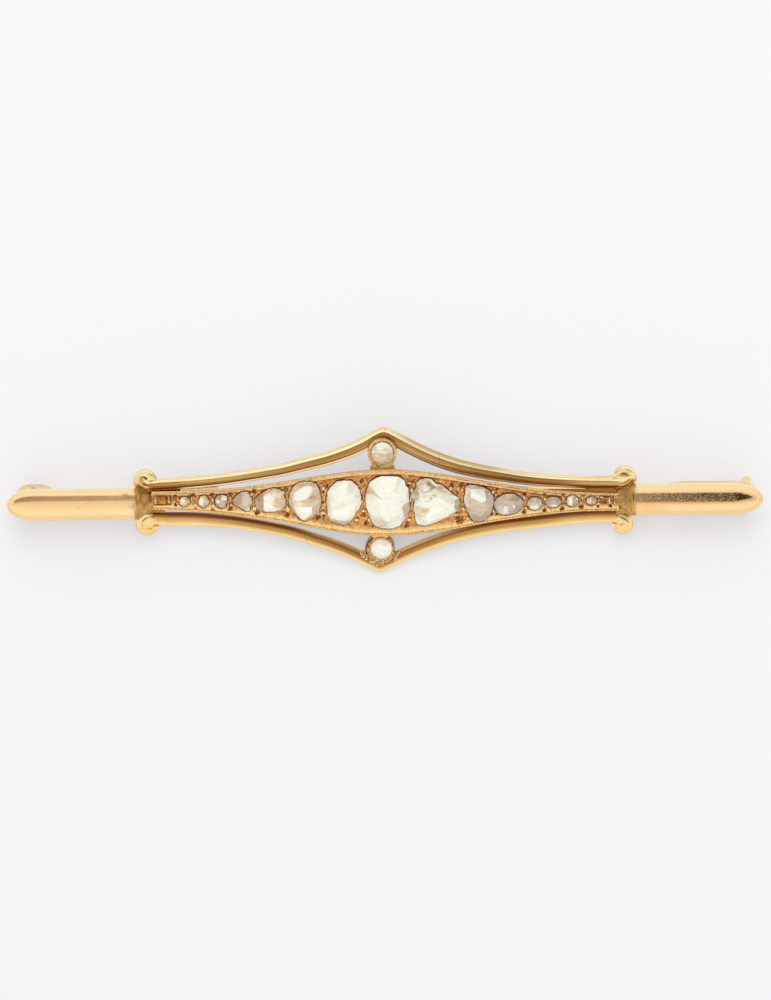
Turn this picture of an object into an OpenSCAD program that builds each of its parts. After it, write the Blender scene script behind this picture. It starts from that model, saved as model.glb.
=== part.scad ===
// Bar brooch in yellow gold with a row of graduated rose-cut diamonds.
// Two tubular bars carry a pierced centre: a stone plate between two rails that rise to a point.
// It lies on its back as it would by itself: on the hinge, the clasp's knob and the lower rail's point.
// X runs along the bars and Z is up. The brooch's own frame is turned by the lean about X.

/* [Brooch] */
// Length from bar end to bar end
overall_length = 65; // [62:0.5:68]
// Angle at which the front leans, in degrees, as the lower rail touches the table
lean = 19.5; // [18:0.5:21]

/* [Bars] */
// Radius of the round bars
bar_radius = 1.375; // [1.3:0.025:1.4]
// Length of the rounded end of the left bar
left_nose = 2.2; // [2:0.1:3]
// Length of the rounded end of the right bar
right_nose = 2.5; // [2:0.1:3]
// Distance from the middle to the inner end of each bar
bar_start = 21.2; // [21:0.1:21.5]

/* [Rails] */
// Distance from the middle line to the upper rail's point
upper_peak_reach = 6.52; // [6.3:0.02:6.8]
// Distance from the middle line to the lower rail's point
lower_peak_reach = 6.7; // [6.5:0.02:7]
// Distance along the bars over which a rail rises to its point
rail_run = 26; // [24:0.5:30]
// Width of the upper rail at its ends
upper_end_width = 0.95; // [0.85:0.01:1.05]
// Width of the upper rail at its point
upper_peak_width = 1.36; // [1.2:0.02:1.4]
// Width of the lower rail at its ends
lower_end_width = 0.88; // [0.8:0.01:0.95]
// Width of the lower rail at its point
lower_peak_width = 1.1; // [1:0.02:1.3]
// Height of a rail's ridge above the bar axis
rail_ridge = -0.55; // [-0.7:0.05:-0.4]

/* [Stone plate] */
// Half width of the plate in the middle
plate_half = 2.73; // [2.6:0.01:2.9]
// Half width of the plate at its ends
plate_end_half = 0.57; // [0.55:0.01:0.7]
// Distance that the plate's face overhangs its upper wall
plate_lip = 0.39; // [0.3:0.01:0.4]
// Spread of the plate's bulge along the bars
plate_spread = 10.3; // [9.5:0.1:11]
// Height of the plate's face above the bar axis
plate_top = 0.35; // [0.25:0.05:0.45]
// Depth of the plate's underside below the bar axis
plate_under = 0.85; // [0.8:0.05:1]
// Gap between a stone and its seat
stone_gap = 0.04; // [0.03:0.01:0.06]

/* [Collets] */
// Outer radius of the two small collets
collet_radius = 1.26; // [1.2:0.02:1.32]
// Inner radius of a collet's seat
collet_seat = 1.05; // [1:0.01:1.1]
// Height of a collet's rim above the bar axis
collet_top = 0; // [-0.1:0.05:0.1]

/* [Scrolls] */
// Outer radius of a scroll
scroll_radius = 1.02; // [0.95:0.01:1.05]
// Width of a scroll's raised band
scroll_band = 0.42; // [0.36:0.02:0.46]

/* [Pin and clasp] */
// Distance of the pin's axis behind the bar axis
pin_drop = 2.45; // [2.43:0.01:2.5]
// Radius of the pin
pin_radius = 0.43; // [0.38:0.01:0.45]
// Radius of the clasp's knob
knob_radius = 1.097; // [1:0.001:1.1]
// Outer radius of the clasp's fixed tube
tube_radius = 0.745; // [0.74:0.005:0.76]
// Bore radius of the clasp's fixed tube
tube_bore = 0.62; // [0.6:0.01:0.63]
// Radius of the clasp's sliding tube
slider_radius = 0.58; // [0.56:0.005:0.58]
// Bore radius of the clasp's sliding tube
slider_bore = 0.44; // [0.42:0.01:0.45]
// Width of the hinge over both ears
hinge_width = 1.3; // [1.3:0.05:1.5]

/* [Hidden] */
half_length = overall_length / 2;
rest_drop = pin_drop * cos(lean) + knob_radius;
rail_edge = -0.75;
rail_edge_low = -1.0;
rail_inner_slope = rail_ridge - 0.22;
rail_lip = rail_ridge - 0.3;
rail_undercut = 0.3;
rail_under = (rest_drop - sin(lean) * (lower_peak_reach - rail_undercut)) / cos(lean);
ear_drop = (rest_drop - sin(lean) * hinge_width / 2) / cos(lean);
// Middle of the leaning outline, from its upper and lower points
middle_y = ((upper_peak_reach - lower_peak_reach) * cos(lean) - (rail_edge_low + rail_edge) * sin(lean)) / 2;

// Half rails, each a little different by hand work: [reach at the end, how hollow the curve is]
upper_halves = [[1.86, 2.86], [1.77, 3.75]];
lower_halves = [[2.1, 3.58], [2.33, 3.46]];
// Rails: [side, x of the point, reach at the point, halves, width at the ends, width at the point]
rails = [
    [1, -0.1, upper_peak_reach, upper_halves, upper_end_width, upper_peak_width],
    [-1, -0.5, lower_peak_reach, lower_halves, lower_end_width, lower_peak_width]
];
peak_round = 0.25;
rail_steps = 50;
rail_end_x = 19.9;

plate_end_x = 19.7;
plate_steps = 40;
plate_skew = -0.014;
plate_shift = -0.09;

// Row stones: [name, x, y, length, width, taper to the right, sides, turn]
row_stones = [
    ["diamond_01", -17.2, 0.25, 0.84, 0.96, 0, 8, 0],
    ["diamond_02", -15.57, 0.22, 1.0, 1.2, 0.1, 8, 10],
    ["diamond_03", -14.0, 0.25, 1.22, 1.34, -0.05, 9, 0],
    ["diamond_04", -12.33, 0.3, 1.63, 1.8, -0.22, 9, 20],
    ["diamond_05", -9.94, 0.4, 2.7, 2.15, -0.28, 11, 0],
    ["diamond_06", -6.83, 0.25, 2.58, 3.4, 0.05, 12, 12],
    ["diamond_07", -3.54, 0.08, 3.05, 3.86, 0.04, 12, 0],
    ["diamond_08", 0.17, 0.1, 3.78, 4.8, 0, 14, 0],
    ["diamond_09", 4.32, 0.08, 4.1, 4.1, 0.42, 12, 15],
    ["diamond_10", 7.86, -0.1, 2.24, 3.16, 0.04, 11, 0],
    ["diamond_11", 10.57, -0.1, 2.4, 2.04, 0.18, 10, 0],
    ["diamond_12", 12.88, -0.1, 1.22, 1.28, 0.1, 8, 12],
    ["diamond_13", 14.43, -0.06, 1.4, 1.08, 0, 9, 0],
    ["diamond_14", 16.11, -0.03, 1.14, 1.16, 0.08, 8, 0],
    ["diamond_15", 17.7, 0, 1.04, 1.04, 0, 8, 15]
];
// Collet stones: [name, x, y, length, width, taper to the right, sides, turn]
collet_stones = [
    ["diamond_top", -0.2, 4.45, 1.96, 1.96, 0, 10, 0],
    ["diamond_bottom", -0.45, -4.45, 1.9, 1.9, 0, 10, 0]
];
collet_under = 1.15;
collet_face = collet_top - 0.08;
collet_sides = 28;
// Necks that join the collets to the plate
neck_width = 1.2;
neck_start = 2.4;
neck_under = 0.8;
neck_top = 0.1;
// Empty engraved seats at the ends of the plate: [x, y, length, width]
bare_seats = [[-19.2, 0.3, 0.85, 0.7], [-18.45, 0.3, 0.42, 0.75], [18.75, 0, 0.5, 0.7]];

// Scroll centres: [side along X, side along Y, x, y]
scrolls = [[-1, 1, 20.6, 1.75], [1, 1, 20.72, 1.68], [-1, -1, 20.45, 2.07], [1, -1, 20.45, 2.25]];
scroll_under = 1.25;
scroll_floor = 0.65;
scroll_eye = 0.17;
scroll_crest = 0.42;

// Floors that close the narrow ends of the pierced centre: [side along X, side along Y, start]
end_floors = [[-1, 1, 17.6], [-1, -1, 19], [1, 1, 17.2], [1, -1, 17.4]];
floor_end_x = 20.9;
floor_reach = 1.75;
floor_top = -0.85;
floor_under = -1.2;

// Collar sections from the plate to the bar: [x, half width, top, underside]
collar_sections = [
    [19.1, 0.5, 0.2, 0.8],
    [19.7, 0.78, 0.4, 1.0],
    [20.4, 0.95, 0.72, 1.15],
    [21.1, 1.18, 1.12, 1.3],
    [21.58, 1.41, 1.41, 1.41]
];

tube_start_x = 25.1;
tube_end_x = 30.3;
slider_mouth_x = 24.3;
knob_start_x = 30.84;
knob_end_x = 31.52;
hinge_x = -30.35;
ear_foot = 1.3;
ear_root = 1.1;
eye_gap = 0.6;
eye_radius = 0.62;
rivet_radius = 0.26;
pin_tip_x = 26.6;
pin_shoulder_x = 21;
// Face count of round shapes
round_sides = 48;

gold = [0.86, 0.68, 0.38];
crystal = [0.93, 0.92, 0.88];

// Turns the brooch's own frame to the lean at which it lies, with the table at Z = 0
module laid() {
    translate([0, -middle_y, rest_drop]) rotate([lean, 0, 0]) children();
}

// Closed solid through rings of equal point counts, each given as points in space
module loft(rings) {
    n = len(rings);
    m = len(rings[0]);
    sides = [for (i = [0 : n - 2]) for (k = [0 : m - 1])
        let (a = i * m + k, b = i * m + (k + 1) % m)
        each [[a, a + m, b], [b, a + m, b + m]]];
    first = [[for (k = [0 : m - 1]) k]];
    last = [[for (k = [m - 1 : -1 : 0]) (n - 1) * m + k]];
    polyhedron(points = [for (r = rings) each r], faces = concat(sides, first, last));
}

// Outer edge of a rail as a distance from the middle line
function rail_reach(r, x) =
    let (d = x - r[1],
        half = r[3][d < 0 ? 0 : 1],
        soft = sqrt(d * d + peak_round * peak_round) - peak_round)
    half[0] + (r[2] - half[0]) * pow(1 - soft / rail_run, half[1]);

function rail_width(r, x) = r[4] + (r[5] - r[4]) * exp(-pow(x / 10.5, 2));

// Section of a rail: a ridged face with a lip on its inner side, over an outer wall that is cut back below
function rail_section(r, x) =
    let (out = rail_reach(r, x),
        w = rail_width(r, x),
        points = [[out, rail_edge], [out - 0.35 * w, rail_ridge], [out - 0.8 * w, rail_inner_slope],
            [out - w, rail_lip], [out - w, -rail_under], [out - rail_undercut, -rail_under],
            [out, rail_edge_low]],
        last = len(points) - 1)
    [for (k = [0 : last]) let (p = points[r[0] > 0 ? k : last - k]) [x, r[0] * p[0], p[1]]];

// Stations along a rail, closer together near its point
function rail_stations(r) =
    [for (i = [0 : rail_steps]) let (t = 2 * i / rail_steps - 1)
        r[1] + (t < 0 ? -(rail_end_x + r[1]) : rail_end_x - r[1]) * pow(abs(t), 1.4)];

module rail(r) {
    loft([for (x = rail_stations(r)) rail_section(r, x)]);
}

function plate_reach(x) = plate_end_half + (plate_half - plate_end_half) * exp(-pow(x / plate_spread, 2));
function plate_middle(x) = plate_shift + plate_skew * x;

// Section of the plate: its upper wall leans out to the overhanging edge of the face
function plate_section(x) =
    let (h = plate_reach(x), c = plate_middle(x), edge = 0.1, far = c + h + plate_lip)
    [[x, c - h, -plate_under], [x, c + h, -plate_under], [x, far, plate_top - edge],
        [x, far - edge, plate_top], [x, c - h + edge, plate_top], [x, c - h, plate_top - edge]];

// Outline of a stone: an ellipse that may taper to one side
function stone_outline(s, grow) =
    [for (k = [0 : s[6] - 1]) let (a = 360 * (k + 0.5) / s[6] + s[7])
        [(s[3] / 2 + grow) * cos(a), (s[4] / 2 + grow) * sin(a) * (1 - s[5] * cos(a))]];

// Lowest part of a stone's pocket, measured from the bar axis
function seat_floor(s, face) = face - 0.12 - 0.16 * s[3];

module stone_pocket(s, face) {
    translate([s[1], s[2], seat_floor(s, face) - stone_gap])
        linear_extrude(height = 2) polygon(stone_outline(s, stone_gap));
}

module bare_seat(s) {
    translate([s[0] - s[2] / 2, s[1] - s[3] / 2, plate_top - 0.25]) cube([s[2], s[3], 1]);
}

// Two raised beads in each gap between neighbouring stones
module row_beads() {
    for (i = [0 : len(row_stones) - 2]) {
        a = row_stones[i];
        b = row_stones[i + 1];
        x = (a[1] + a[3] / 2 + b[1] - b[3] / 2) / 2;
        y = (a[2] + b[2]) / 2;
        reach = 0.29 * (a[4] + b[4]) / 2;
        r = 0.16 + 0.03 * min(a[4], b[4]);
        for (side = [-1, 1])
            translate([x, y + side * reach, plate_top - 0.02]) sphere(r = r, $fn = 8);
    }
}

module plate() {
    difference() {
        union() {
            loft([for (i = [0 : plate_steps]) plate_section(plate_end_x * (2 * i / plate_steps - 1))]);
            row_beads();
        }
        for (s = row_stones) stone_pocket(s, plate_top);
        for (s = bare_seats) bare_seat(s);
    }
}

// Cup for a small stone, with a neck that joins it to the plate
module collet(s) {
    side = sign(s[2]);
    translate([s[1], s[2], -collet_under])
        cylinder(r = collet_radius, h = collet_under + collet_top, $fn = collet_sides);
    translate([s[1] - neck_width / 2, min(s[2], side * neck_start), -neck_under])
        cube([neck_width, abs(s[2]) - neck_start, neck_under - neck_top]);
}

module collet_pocket(s) {
    translate([s[1], s[2], seat_floor(s, collet_face) - stone_gap])
        cylinder(r = collet_seat, h = 2, $fn = collet_sides);
}

// Distance of a scroll's band from its centre as it curls round
function scroll_turn(t) = scroll_radius * (1 - 0.12 * t);

module scroll(place) {
    steps = 18;
    eye_place = [0.03, 0.22];
    rings = [for (i = [0 : steps])
        let (t = i / steps, a = 275 - 265 * t, out = scroll_turn(t), band = scroll_band * (1 - 0.35 * t))
        [[out * cos(a), out * sin(a), -scroll_under], [out * cos(a), out * sin(a), -scroll_crest - 0.08],
            [(out - band) * cos(a), (out - band) * sin(a), -scroll_crest],
            [(out - band) * cos(a), (out - band) * sin(a), -scroll_under]]];
    translate([place[0] * place[2], place[1] * place[3], 0])
        scale([-place[0], place[1], 1])
            difference() {
                union() {
                    loft(rings);
                    translate([0, 0, -scroll_under])
                        cylinder(r = scroll_radius - 0.15, h = scroll_under - scroll_floor, $fn = 24);
                }
                translate([eye_place[0], eye_place[1], -scroll_floor - 0.3])
                    cylinder(r = scroll_eye, h = 1, $fn = 10);
            }
}

// Collar that holds a bar's end and runs down to the plate
module collar(side) {
    points = 20;
    rows = side > 0 ? collar_sections : [for (k = [len(collar_sections) - 1 : -1 : 0]) collar_sections[k]];
    loft([for (s = rows)
        [for (k = [0 : points - 1])
            let (a = 360 * k / points, middle = (s[2] - s[3]) / 2, tall = (s[2] + s[3]) / 2)
            [side * s[0], s[1] * cos(a), middle + tall * sin(a)]]]);
}

module end_floor(f) {
    scale([f[0], f[1], 1]) translate([f[2], -0.2, floor_under])
        cube([floor_end_x - f[2], floor_reach + 0.2, floor_top - floor_under]);
}

module bar(side, nose) {
    outline = concat([[0, bar_start]],
        [for (k = [0 : 8]) let (a = 90 * k / 8)
            [bar_radius * cos(a), half_length - nose + nose * sin(a)]]);
    profile = concat([[0, bar_start], [bar_radius, bar_start]], [for (k = [1 : 9]) outline[k]]);
    rotate([0, side * 90, 0]) rotate_extrude($fn = 32) polygon(profile);
}

// Front and bars, soldered into one piece
module front() {
    resize([overall_length, 0, 0]) difference() {
        union() {
            for (r = rails) rail(r);
            plate();
            for (s = collet_stones) collet(s);
            for (place = scrolls) scroll(place);
            for (f = end_floors) end_floor(f);
            for (side = [-1, 1]) collar(side);
            bar(-1, left_nose);
            bar(1, right_nose);
        }
        for (s = collet_stones) collet_pocket(s);
    }
}

// Two ears under the left bar and the rivet between them
module hinge_ears() {
    ear = (hinge_width - eye_gap) / 2;
    for (y = [-hinge_width / 2, hinge_width / 2 - ear])
        translate([hinge_x, y + ear, 0]) rotate([90, 0, 0]) linear_extrude(height = ear)
            polygon([[-ear_foot, -ear_root], [-0.9, -ear_drop + 0.35], [-0.6, -ear_drop], [0.6, -ear_drop],
                [0.9, -ear_drop + 0.35], [ear_foot + 0.7, -ear_root]]);
    translate([hinge_x, hinge_width / 2 - 0.05, -pin_drop]) rotate([90, 0, 0])
        cylinder(r = rivet_radius, h = hinge_width - 0.1, $fn = round_sides);
}

// Fixed tube of the clasp on its saddle under the right bar
module clasp_tube() {
    difference() {
        union() {
            translate([tube_start_x, 0, -pin_drop]) rotate([0, 90, 0])
                cylinder(r = tube_radius, h = tube_end_x - tube_start_x, $fn = round_sides);
            translate([tube_start_x + 0.3, -0.32, -pin_drop])
                cube([tube_end_x - tube_start_x - 0.6, 0.64, pin_drop - 1.15]);
        }
        translate([tube_start_x - 1, 0, -pin_drop]) rotate([0, 90, 0])
            cylinder(r = tube_bore, h = tube_end_x - tube_start_x + 2, $fn = round_sides);
    }
}

module brooch_body() {
    color(gold) laid() union() {
        front();
        hinge_ears();
        clasp_tube();
    }
}

// Pin with its eye on the hinge rivet and its point inside the clasp
module pin_stem() {
    color(gold) laid() difference() {
        union() {
            translate([hinge_x, 0.25, -pin_drop]) rotate([90, 0, 0])
                cylinder(r = eye_radius, h = 0.5, $fn = round_sides);
            translate([hinge_x + 0.35, 0, -pin_drop]) rotate([0, 90, 0])
                cylinder(r1 = 0.24, r2 = pin_radius, h = 2, $fn = round_sides);
            translate([hinge_x + 2.35, 0, -pin_drop]) rotate([0, 90, 0])
                cylinder(r = pin_radius, h = pin_shoulder_x - hinge_x - 2.35, $fn = round_sides);
            translate([pin_shoulder_x, 0, -pin_drop]) rotate([0, 90, 0])
                cylinder(r1 = pin_radius, r2 = 0.06, h = pin_tip_x - pin_shoulder_x, $fn = round_sides);
        }
        translate([hinge_x, 1, -pin_drop]) rotate([90, 0, 0])
            cylinder(r = rivet_radius + 0.05, h = 2, $fn = round_sides);
    }
}

// Sliding tube of the clasp with its knob
module clasp_slider() {
    bore_end_x = 28.2;
    neck_radius = 0.45;
    color(gold) laid() translate([0, 0, -pin_drop]) rotate([90, 0, 90]) rotate_extrude($fn = round_sides)
        polygon([[slider_bore, slider_mouth_x], [slider_radius, slider_mouth_x],
            [slider_radius, tube_end_x + 0.1], [neck_radius, tube_end_x + 0.1],
            [neck_radius, knob_start_x], [knob_radius - 0.1, knob_start_x],
            [knob_radius, knob_start_x + 0.1], [knob_radius, knob_end_x - 0.15],
            [knob_radius - 0.15, knob_end_x], [0, knob_end_x], [0, bore_end_x],
            [slider_bore, bore_end_x]]);
}

// Rose-cut stone: flat back, thin girdle, star facets and a small table
module rose_cut(s, face) {
    rise = 0.1 + 0.2 * min(s[3], s[4]);
    n = s[6];
    outline = stone_outline(s, 0);
    half_step = [for (k = [0 : n - 1]) (outline[k] + outline[(k + 1) % n]) / 2];
    floor_z = seat_floor(s, face);
    // Rings from the back to the table: [outline, size, height]
    levels = [[outline, 0.86, floor_z], [outline, 1, face - 0.04], [outline, 1, face + 0.03],
        [half_step, 0.72, face + 0.03 + 0.68 * rise], [outline, 0.36, face + 0.03 + rise]];
    translate([s[1], s[2], 0])
        loft([for (v = levels) [for (k = [0 : n - 1]) [v[0][k][0] * v[1], v[0][k][1] * v[1], v[2]]]]);
}

module row_stone(s) {
    color(crystal) laid() rose_cut(s, plate_top);
}

module collet_stone(s) {
    color(crystal) laid() rose_cut(s, collet_face);
}

brooch_body();
pin_stem();
clasp_slider();
for (s = row_stones) row_stone(s);
for (s = collet_stones) collet_stone(s);
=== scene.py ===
"""Dresses the bar brooch: gold rails, bars, scrolls and stone plate, rose-cut diamonds, light and camera.

Sizes are in millimetres in the brooch's own frame: x along the bars, y across them, z towards its face.
The brooch leans on its lower rail, so one matrix takes that frame to the part's frame in metres.
"""
import math
import random

import bmesh
import bpy
import numpy as np
from mathutils import Matrix, Vector
from mathutils.geometry import delaunay_2d_cdt


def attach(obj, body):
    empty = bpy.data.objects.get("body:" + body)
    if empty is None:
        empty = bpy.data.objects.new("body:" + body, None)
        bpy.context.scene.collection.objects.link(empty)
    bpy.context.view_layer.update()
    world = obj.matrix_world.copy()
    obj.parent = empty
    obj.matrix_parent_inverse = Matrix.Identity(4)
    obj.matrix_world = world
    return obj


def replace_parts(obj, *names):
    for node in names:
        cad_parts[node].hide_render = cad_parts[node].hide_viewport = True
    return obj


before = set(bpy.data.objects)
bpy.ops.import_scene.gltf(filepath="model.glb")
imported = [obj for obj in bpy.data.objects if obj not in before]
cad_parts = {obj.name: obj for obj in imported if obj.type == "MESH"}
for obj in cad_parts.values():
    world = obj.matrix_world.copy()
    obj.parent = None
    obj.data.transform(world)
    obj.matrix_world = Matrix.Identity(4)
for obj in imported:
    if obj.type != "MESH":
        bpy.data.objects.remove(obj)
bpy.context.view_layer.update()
random.seed(7)
field = np.random.default_rng(11)

# Driving sizes, as in the part
LENGTH = 65.0
LEAN = math.radians(19.5)
BAR_RADIUS = 1.375
LEFT_NOSE = 2.2
RIGHT_NOSE = 2.5
PIN_DROP = 2.45
PIN_RADIUS = 0.43
KNOB_RADIUS = 1.097
TUBE_RADIUS = 0.745
TUBE_BORE = 0.62
HINGE_WIDTH = 1.3
UPPER_PEAK = 6.52
LOWER_PEAK = 6.7
RAIL_RUN = 26.0
PEAK_ROUND = 0.25
RAIL_END_X = 19.9
RAIL_EDGE = -0.75
RAIL_EDGE_LOW = -1.0
PLATE_HALF = 2.73
PLATE_END_HALF = 0.57
PLATE_SPREAD = 10.3
PLATE_TOP = 0.35
PLATE_UNDER = 0.85
PLATE_LIP = 0.39
PLATE_END_X = 20.05
PLATE_SKEW = -0.014
PLATE_SHIFT = -0.09
COLLET_RADIUS = 1.26
COLLET_FACE = -0.08
SCROLL_RADIUS = 1.02
SCROLL_UNDER = 1.25

REST_DROP = PIN_DROP * math.cos(LEAN) + KNOB_RADIUS
RAIL_UNDERCUT = 0.3
RAIL_UNDER = (REST_DROP - math.sin(LEAN) * (LOWER_PEAK - RAIL_UNDERCUT)) / math.cos(LEAN)
EAR_DROP = (REST_DROP - math.sin(LEAN) * HINGE_WIDTH / 2) / math.cos(LEAN)
MIDDLE_Y = ((UPPER_PEAK - LOWER_PEAK) * math.cos(LEAN) - (RAIL_EDGE_LOW + RAIL_EDGE) * math.sin(LEAN)) / 2
LAID = (
    Matrix.Diagonal((0.001, 0.001, 0.001, 1.0))
    @ Matrix.Translation((0, -MIDDLE_Y, REST_DROP))
    @ Matrix.Rotation(LEAN, 4, "X")
)


def srgb(r, g, b):
    """Linear colour of a screen colour from 0 to 255."""
    return tuple((v / 255 / 12.92) if v < 10.3 else (((v / 255) + 0.055) / 1.055) ** 2.4 for v in (r, g, b))


def tint(r, g, b, rough):
    """Screen colour of a metal with its roughness, as one vertex colour."""
    return (*srgb(r, g, b), rough)


# Light that reaches a stone from all round, and what its polish sends back on top of its own colour
STONE_LIGHT = 1.08
STONE_GLOSS = 0.16


def stone_tint(r, g, b):
    """Vertex colour of a facet that shows as this screen colour."""
    return (*(max(0.02, (v - STONE_GLOSS) / STONE_LIGHT) for v in srgb(r, g, b)), 0.1)


def blend(a, b, share):
    return tuple(p + (q - p) * share for p, q in zip(a, b))


def ease(value, low, high):
    """Smooth step from 0 at low to 1 at high."""
    t = np.clip((value - low) / (high - low), 0, 1)
    return t * t * (3 - 2 * t)


def ridge(value, middle, spread):
    """Bell of height 1 round a middle value."""
    return np.exp(-(((value - middle) / spread) ** 2))


def turns(count):
    """Angles of a full turn in equal steps."""
    return [2 * math.pi * k / count for k in range(count)]


def polar(x, y, radius, angle, *height):
    """Point at a radius and an angle round a middle."""
    return (x + radius * math.cos(angle), y + radius * math.sin(angle), *height)


PALE = tint(255, 246, 192, 0.24)
GOLD = tint(252, 214, 146, 0.26)
PEACH = tint(255, 214, 158, 0.13)
APRICOT = tint(244, 203, 133, 0.26)
MID = tint(196, 152, 88, 0.3)
TAWNY = tint(180, 128, 70, 0.34)
OLIVE = tint(150, 128, 90, 0.4)
RUST = tint(158, 92, 40, 0.4)
BROWN = tint(120, 60, 24, 0.5)
DARK = tint(66, 32, 14, 0.6)
LIP = tint(255, 226, 178, 0.26)
STRAW = tint(226, 190, 132, 0.3)
ORANGE = tint(255, 212, 144, 0.28)
BORDER = tint(236, 200, 148, 0.32)
EMBER = tint(182, 108, 50, 0.4)
TAN_GOLD = tint(226, 188, 128, 0.34)
BRASS = tint(198, 156, 88, 0.4)
CREAM = tint(234, 216, 168, 0.26)
EDGE = tint(190, 160, 122, 0.34)
AMBER = tint(210, 168, 106, 0.3)
COPPER = tint(230, 168, 100, 0.45)

# Turn about x of the edge of a bar that is seen farthest up in y, and how far its painted highlight spreads
FAR_TURN = math.radians(95)
FAR_SPREAD = 0.42


def band(a, b, count):
    """Faces between two closed rings of points that start at a and b."""
    return [(a + k, a + (k + 1) % count, b + (k + 1) % count, b + k) for k in range(count)]


class Shape:
    """Vertices with a tint and a flow (millimetres along and across the piece) each, and faces over them."""

    def __init__(self):
        self.verts, self.faces, self.tints, self.flow = [], [], [], []

    def add(self, verts, faces, tints, flow=None):
        base = len(self.verts)
        self.verts += [tuple(v) for v in verts]
        self.faces += [tuple(base + i for i in f) for f in faces]
        self.tints += tints if isinstance(tints, list) else [tints] * len(verts)
        self.flow += flow or [(v[0], v[1]) for v in verts]
        return self

    def loft(self, rings, tints, across=None, wrap=False):
        """Joins rings of equal point counts, with the last to the first, or else with both ends closed.

        tints is one tint, one for each point of a ring, or one for each vertex.
        """
        n, m = len(rings), len(rings[0])
        faces = [face for i in range(n if wrap else n - 1) for face in band(i * m, (i + 1) % n * m, m)]
        if not wrap:
            faces += [tuple(reversed(range(m))), tuple(range((n - 1) * m, n * m))]
        row = tints if isinstance(tints, list) else [tints] * m
        if len(row) == m:
            row = row * n
        across = across or [0.05 * k for k in range(m)]
        flow = [(p[0], place) for r in rings for p, place in zip(r, across)]
        return self.add([p for r in rings for p in r], faces, row, flow)

    def ball(self, centre, size, tone, around, levels):
        """A round bead from its radius or its three half sizes."""
        x, y, z = centre
        sx, sy, sz = size if isinstance(size, tuple) else (size, size, size)
        verts = [(x, y, z - sz)]
        for i in range(1, levels):
            a = math.pi * i / levels - math.pi / 2
            wide, tall, level = sx * math.cos(a), sy * math.cos(a), z + sz * math.sin(a)
            verts += [(x + wide * math.cos(t), y + tall * math.sin(t), level) for t in turns(around)]
        verts.append((x, y, z + sz))
        top = len(verts) - 1
        last = top - around
        faces = [(0, 1 + (k + 1) % around, 1 + k) for k in range(around)]
        for a in range(1, last, around):
            faces += band(a, a + around, around)
        faces += [(last + k, last + (k + 1) % around, top) for k in range(around)]
        return self.add(verts, faces, tone)

    def lathe(self, profile, tone, axis_z=0.0, around=64, far_highlight=None):
        """Turns (x, radius) points about a line along x; a radius of 0 closes the end.

        far_highlight, a painted highlight, takes over along the edge that is seen farthest up in y.
        """
        angles = turns(around)
        profile = [(x, max(r, 1e-4)) for x, r in profile]
        rings = [[(x, -r * math.sin(t), axis_z + r * math.cos(t)) for t in angles] for x, r in profile]
        far = [math.remainder(t + FAR_TURN, 2 * math.pi) for t in angles]
        row = [blend(tone, far_highlight or tone, math.exp(-((gap / FAR_SPREAD) ** 2))) for gap in far]
        return self.loft(rings, row, angles)

    def turn(self, centre, sections, tints, around=72):
        """Ring about z at a centre, from (radius, height) points."""
        rings = [[polar(*centre, r, a, z) for r, z in sections] for a in turns(around)]
        return self.loft(rings, tints, wrap=True)


def in_scene(name, data):
    """New object of the scene from its data."""
    obj = bpy.data.objects.new(name, data)
    bpy.context.scene.collection.objects.link(obj)
    return obj


def face_outward(mesh):
    """Drops loose points and turns all faces outward."""
    work = bmesh.new()
    work.from_mesh(mesh)
    bmesh.ops.delete(work, geom=[v for v in work.verts if not v.link_faces], context="VERTS")
    bmesh.ops.recalc_face_normals(work, faces=work.faces)
    work.to_mesh(mesh)
    work.free()


def make(name, shape, material, sharp=32, body="brooch"):
    """Blender object of a shape, riding on its body."""
    mesh = bpy.data.meshes.new(name)
    mesh.from_pydata([LAID @ Vector(v) for v in shape.verts], [], shape.faces)
    colour = mesh.color_attributes.new("tint", "FLOAT_COLOR", "POINT")
    colour.data.foreach_set("color", [c for t in shape.tints for c in t])
    flow = mesh.uv_layers.new(name="flow")
    index = np.empty(len(mesh.loops), dtype=np.int32)
    mesh.loops.foreach_get("vertex_index", index)
    flow.data.foreach_set("uv", np.array(shape.flow, dtype=np.float32)[index].ravel())
    mesh.validate()
    face_outward(mesh)
    mesh.shade_smooth()
    mesh.set_sharp_from_angle(angle=math.radians(sharp))
    mesh.materials.append(material)
    obj = in_scene(name, mesh)
    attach(obj, body)
    return obj


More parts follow.
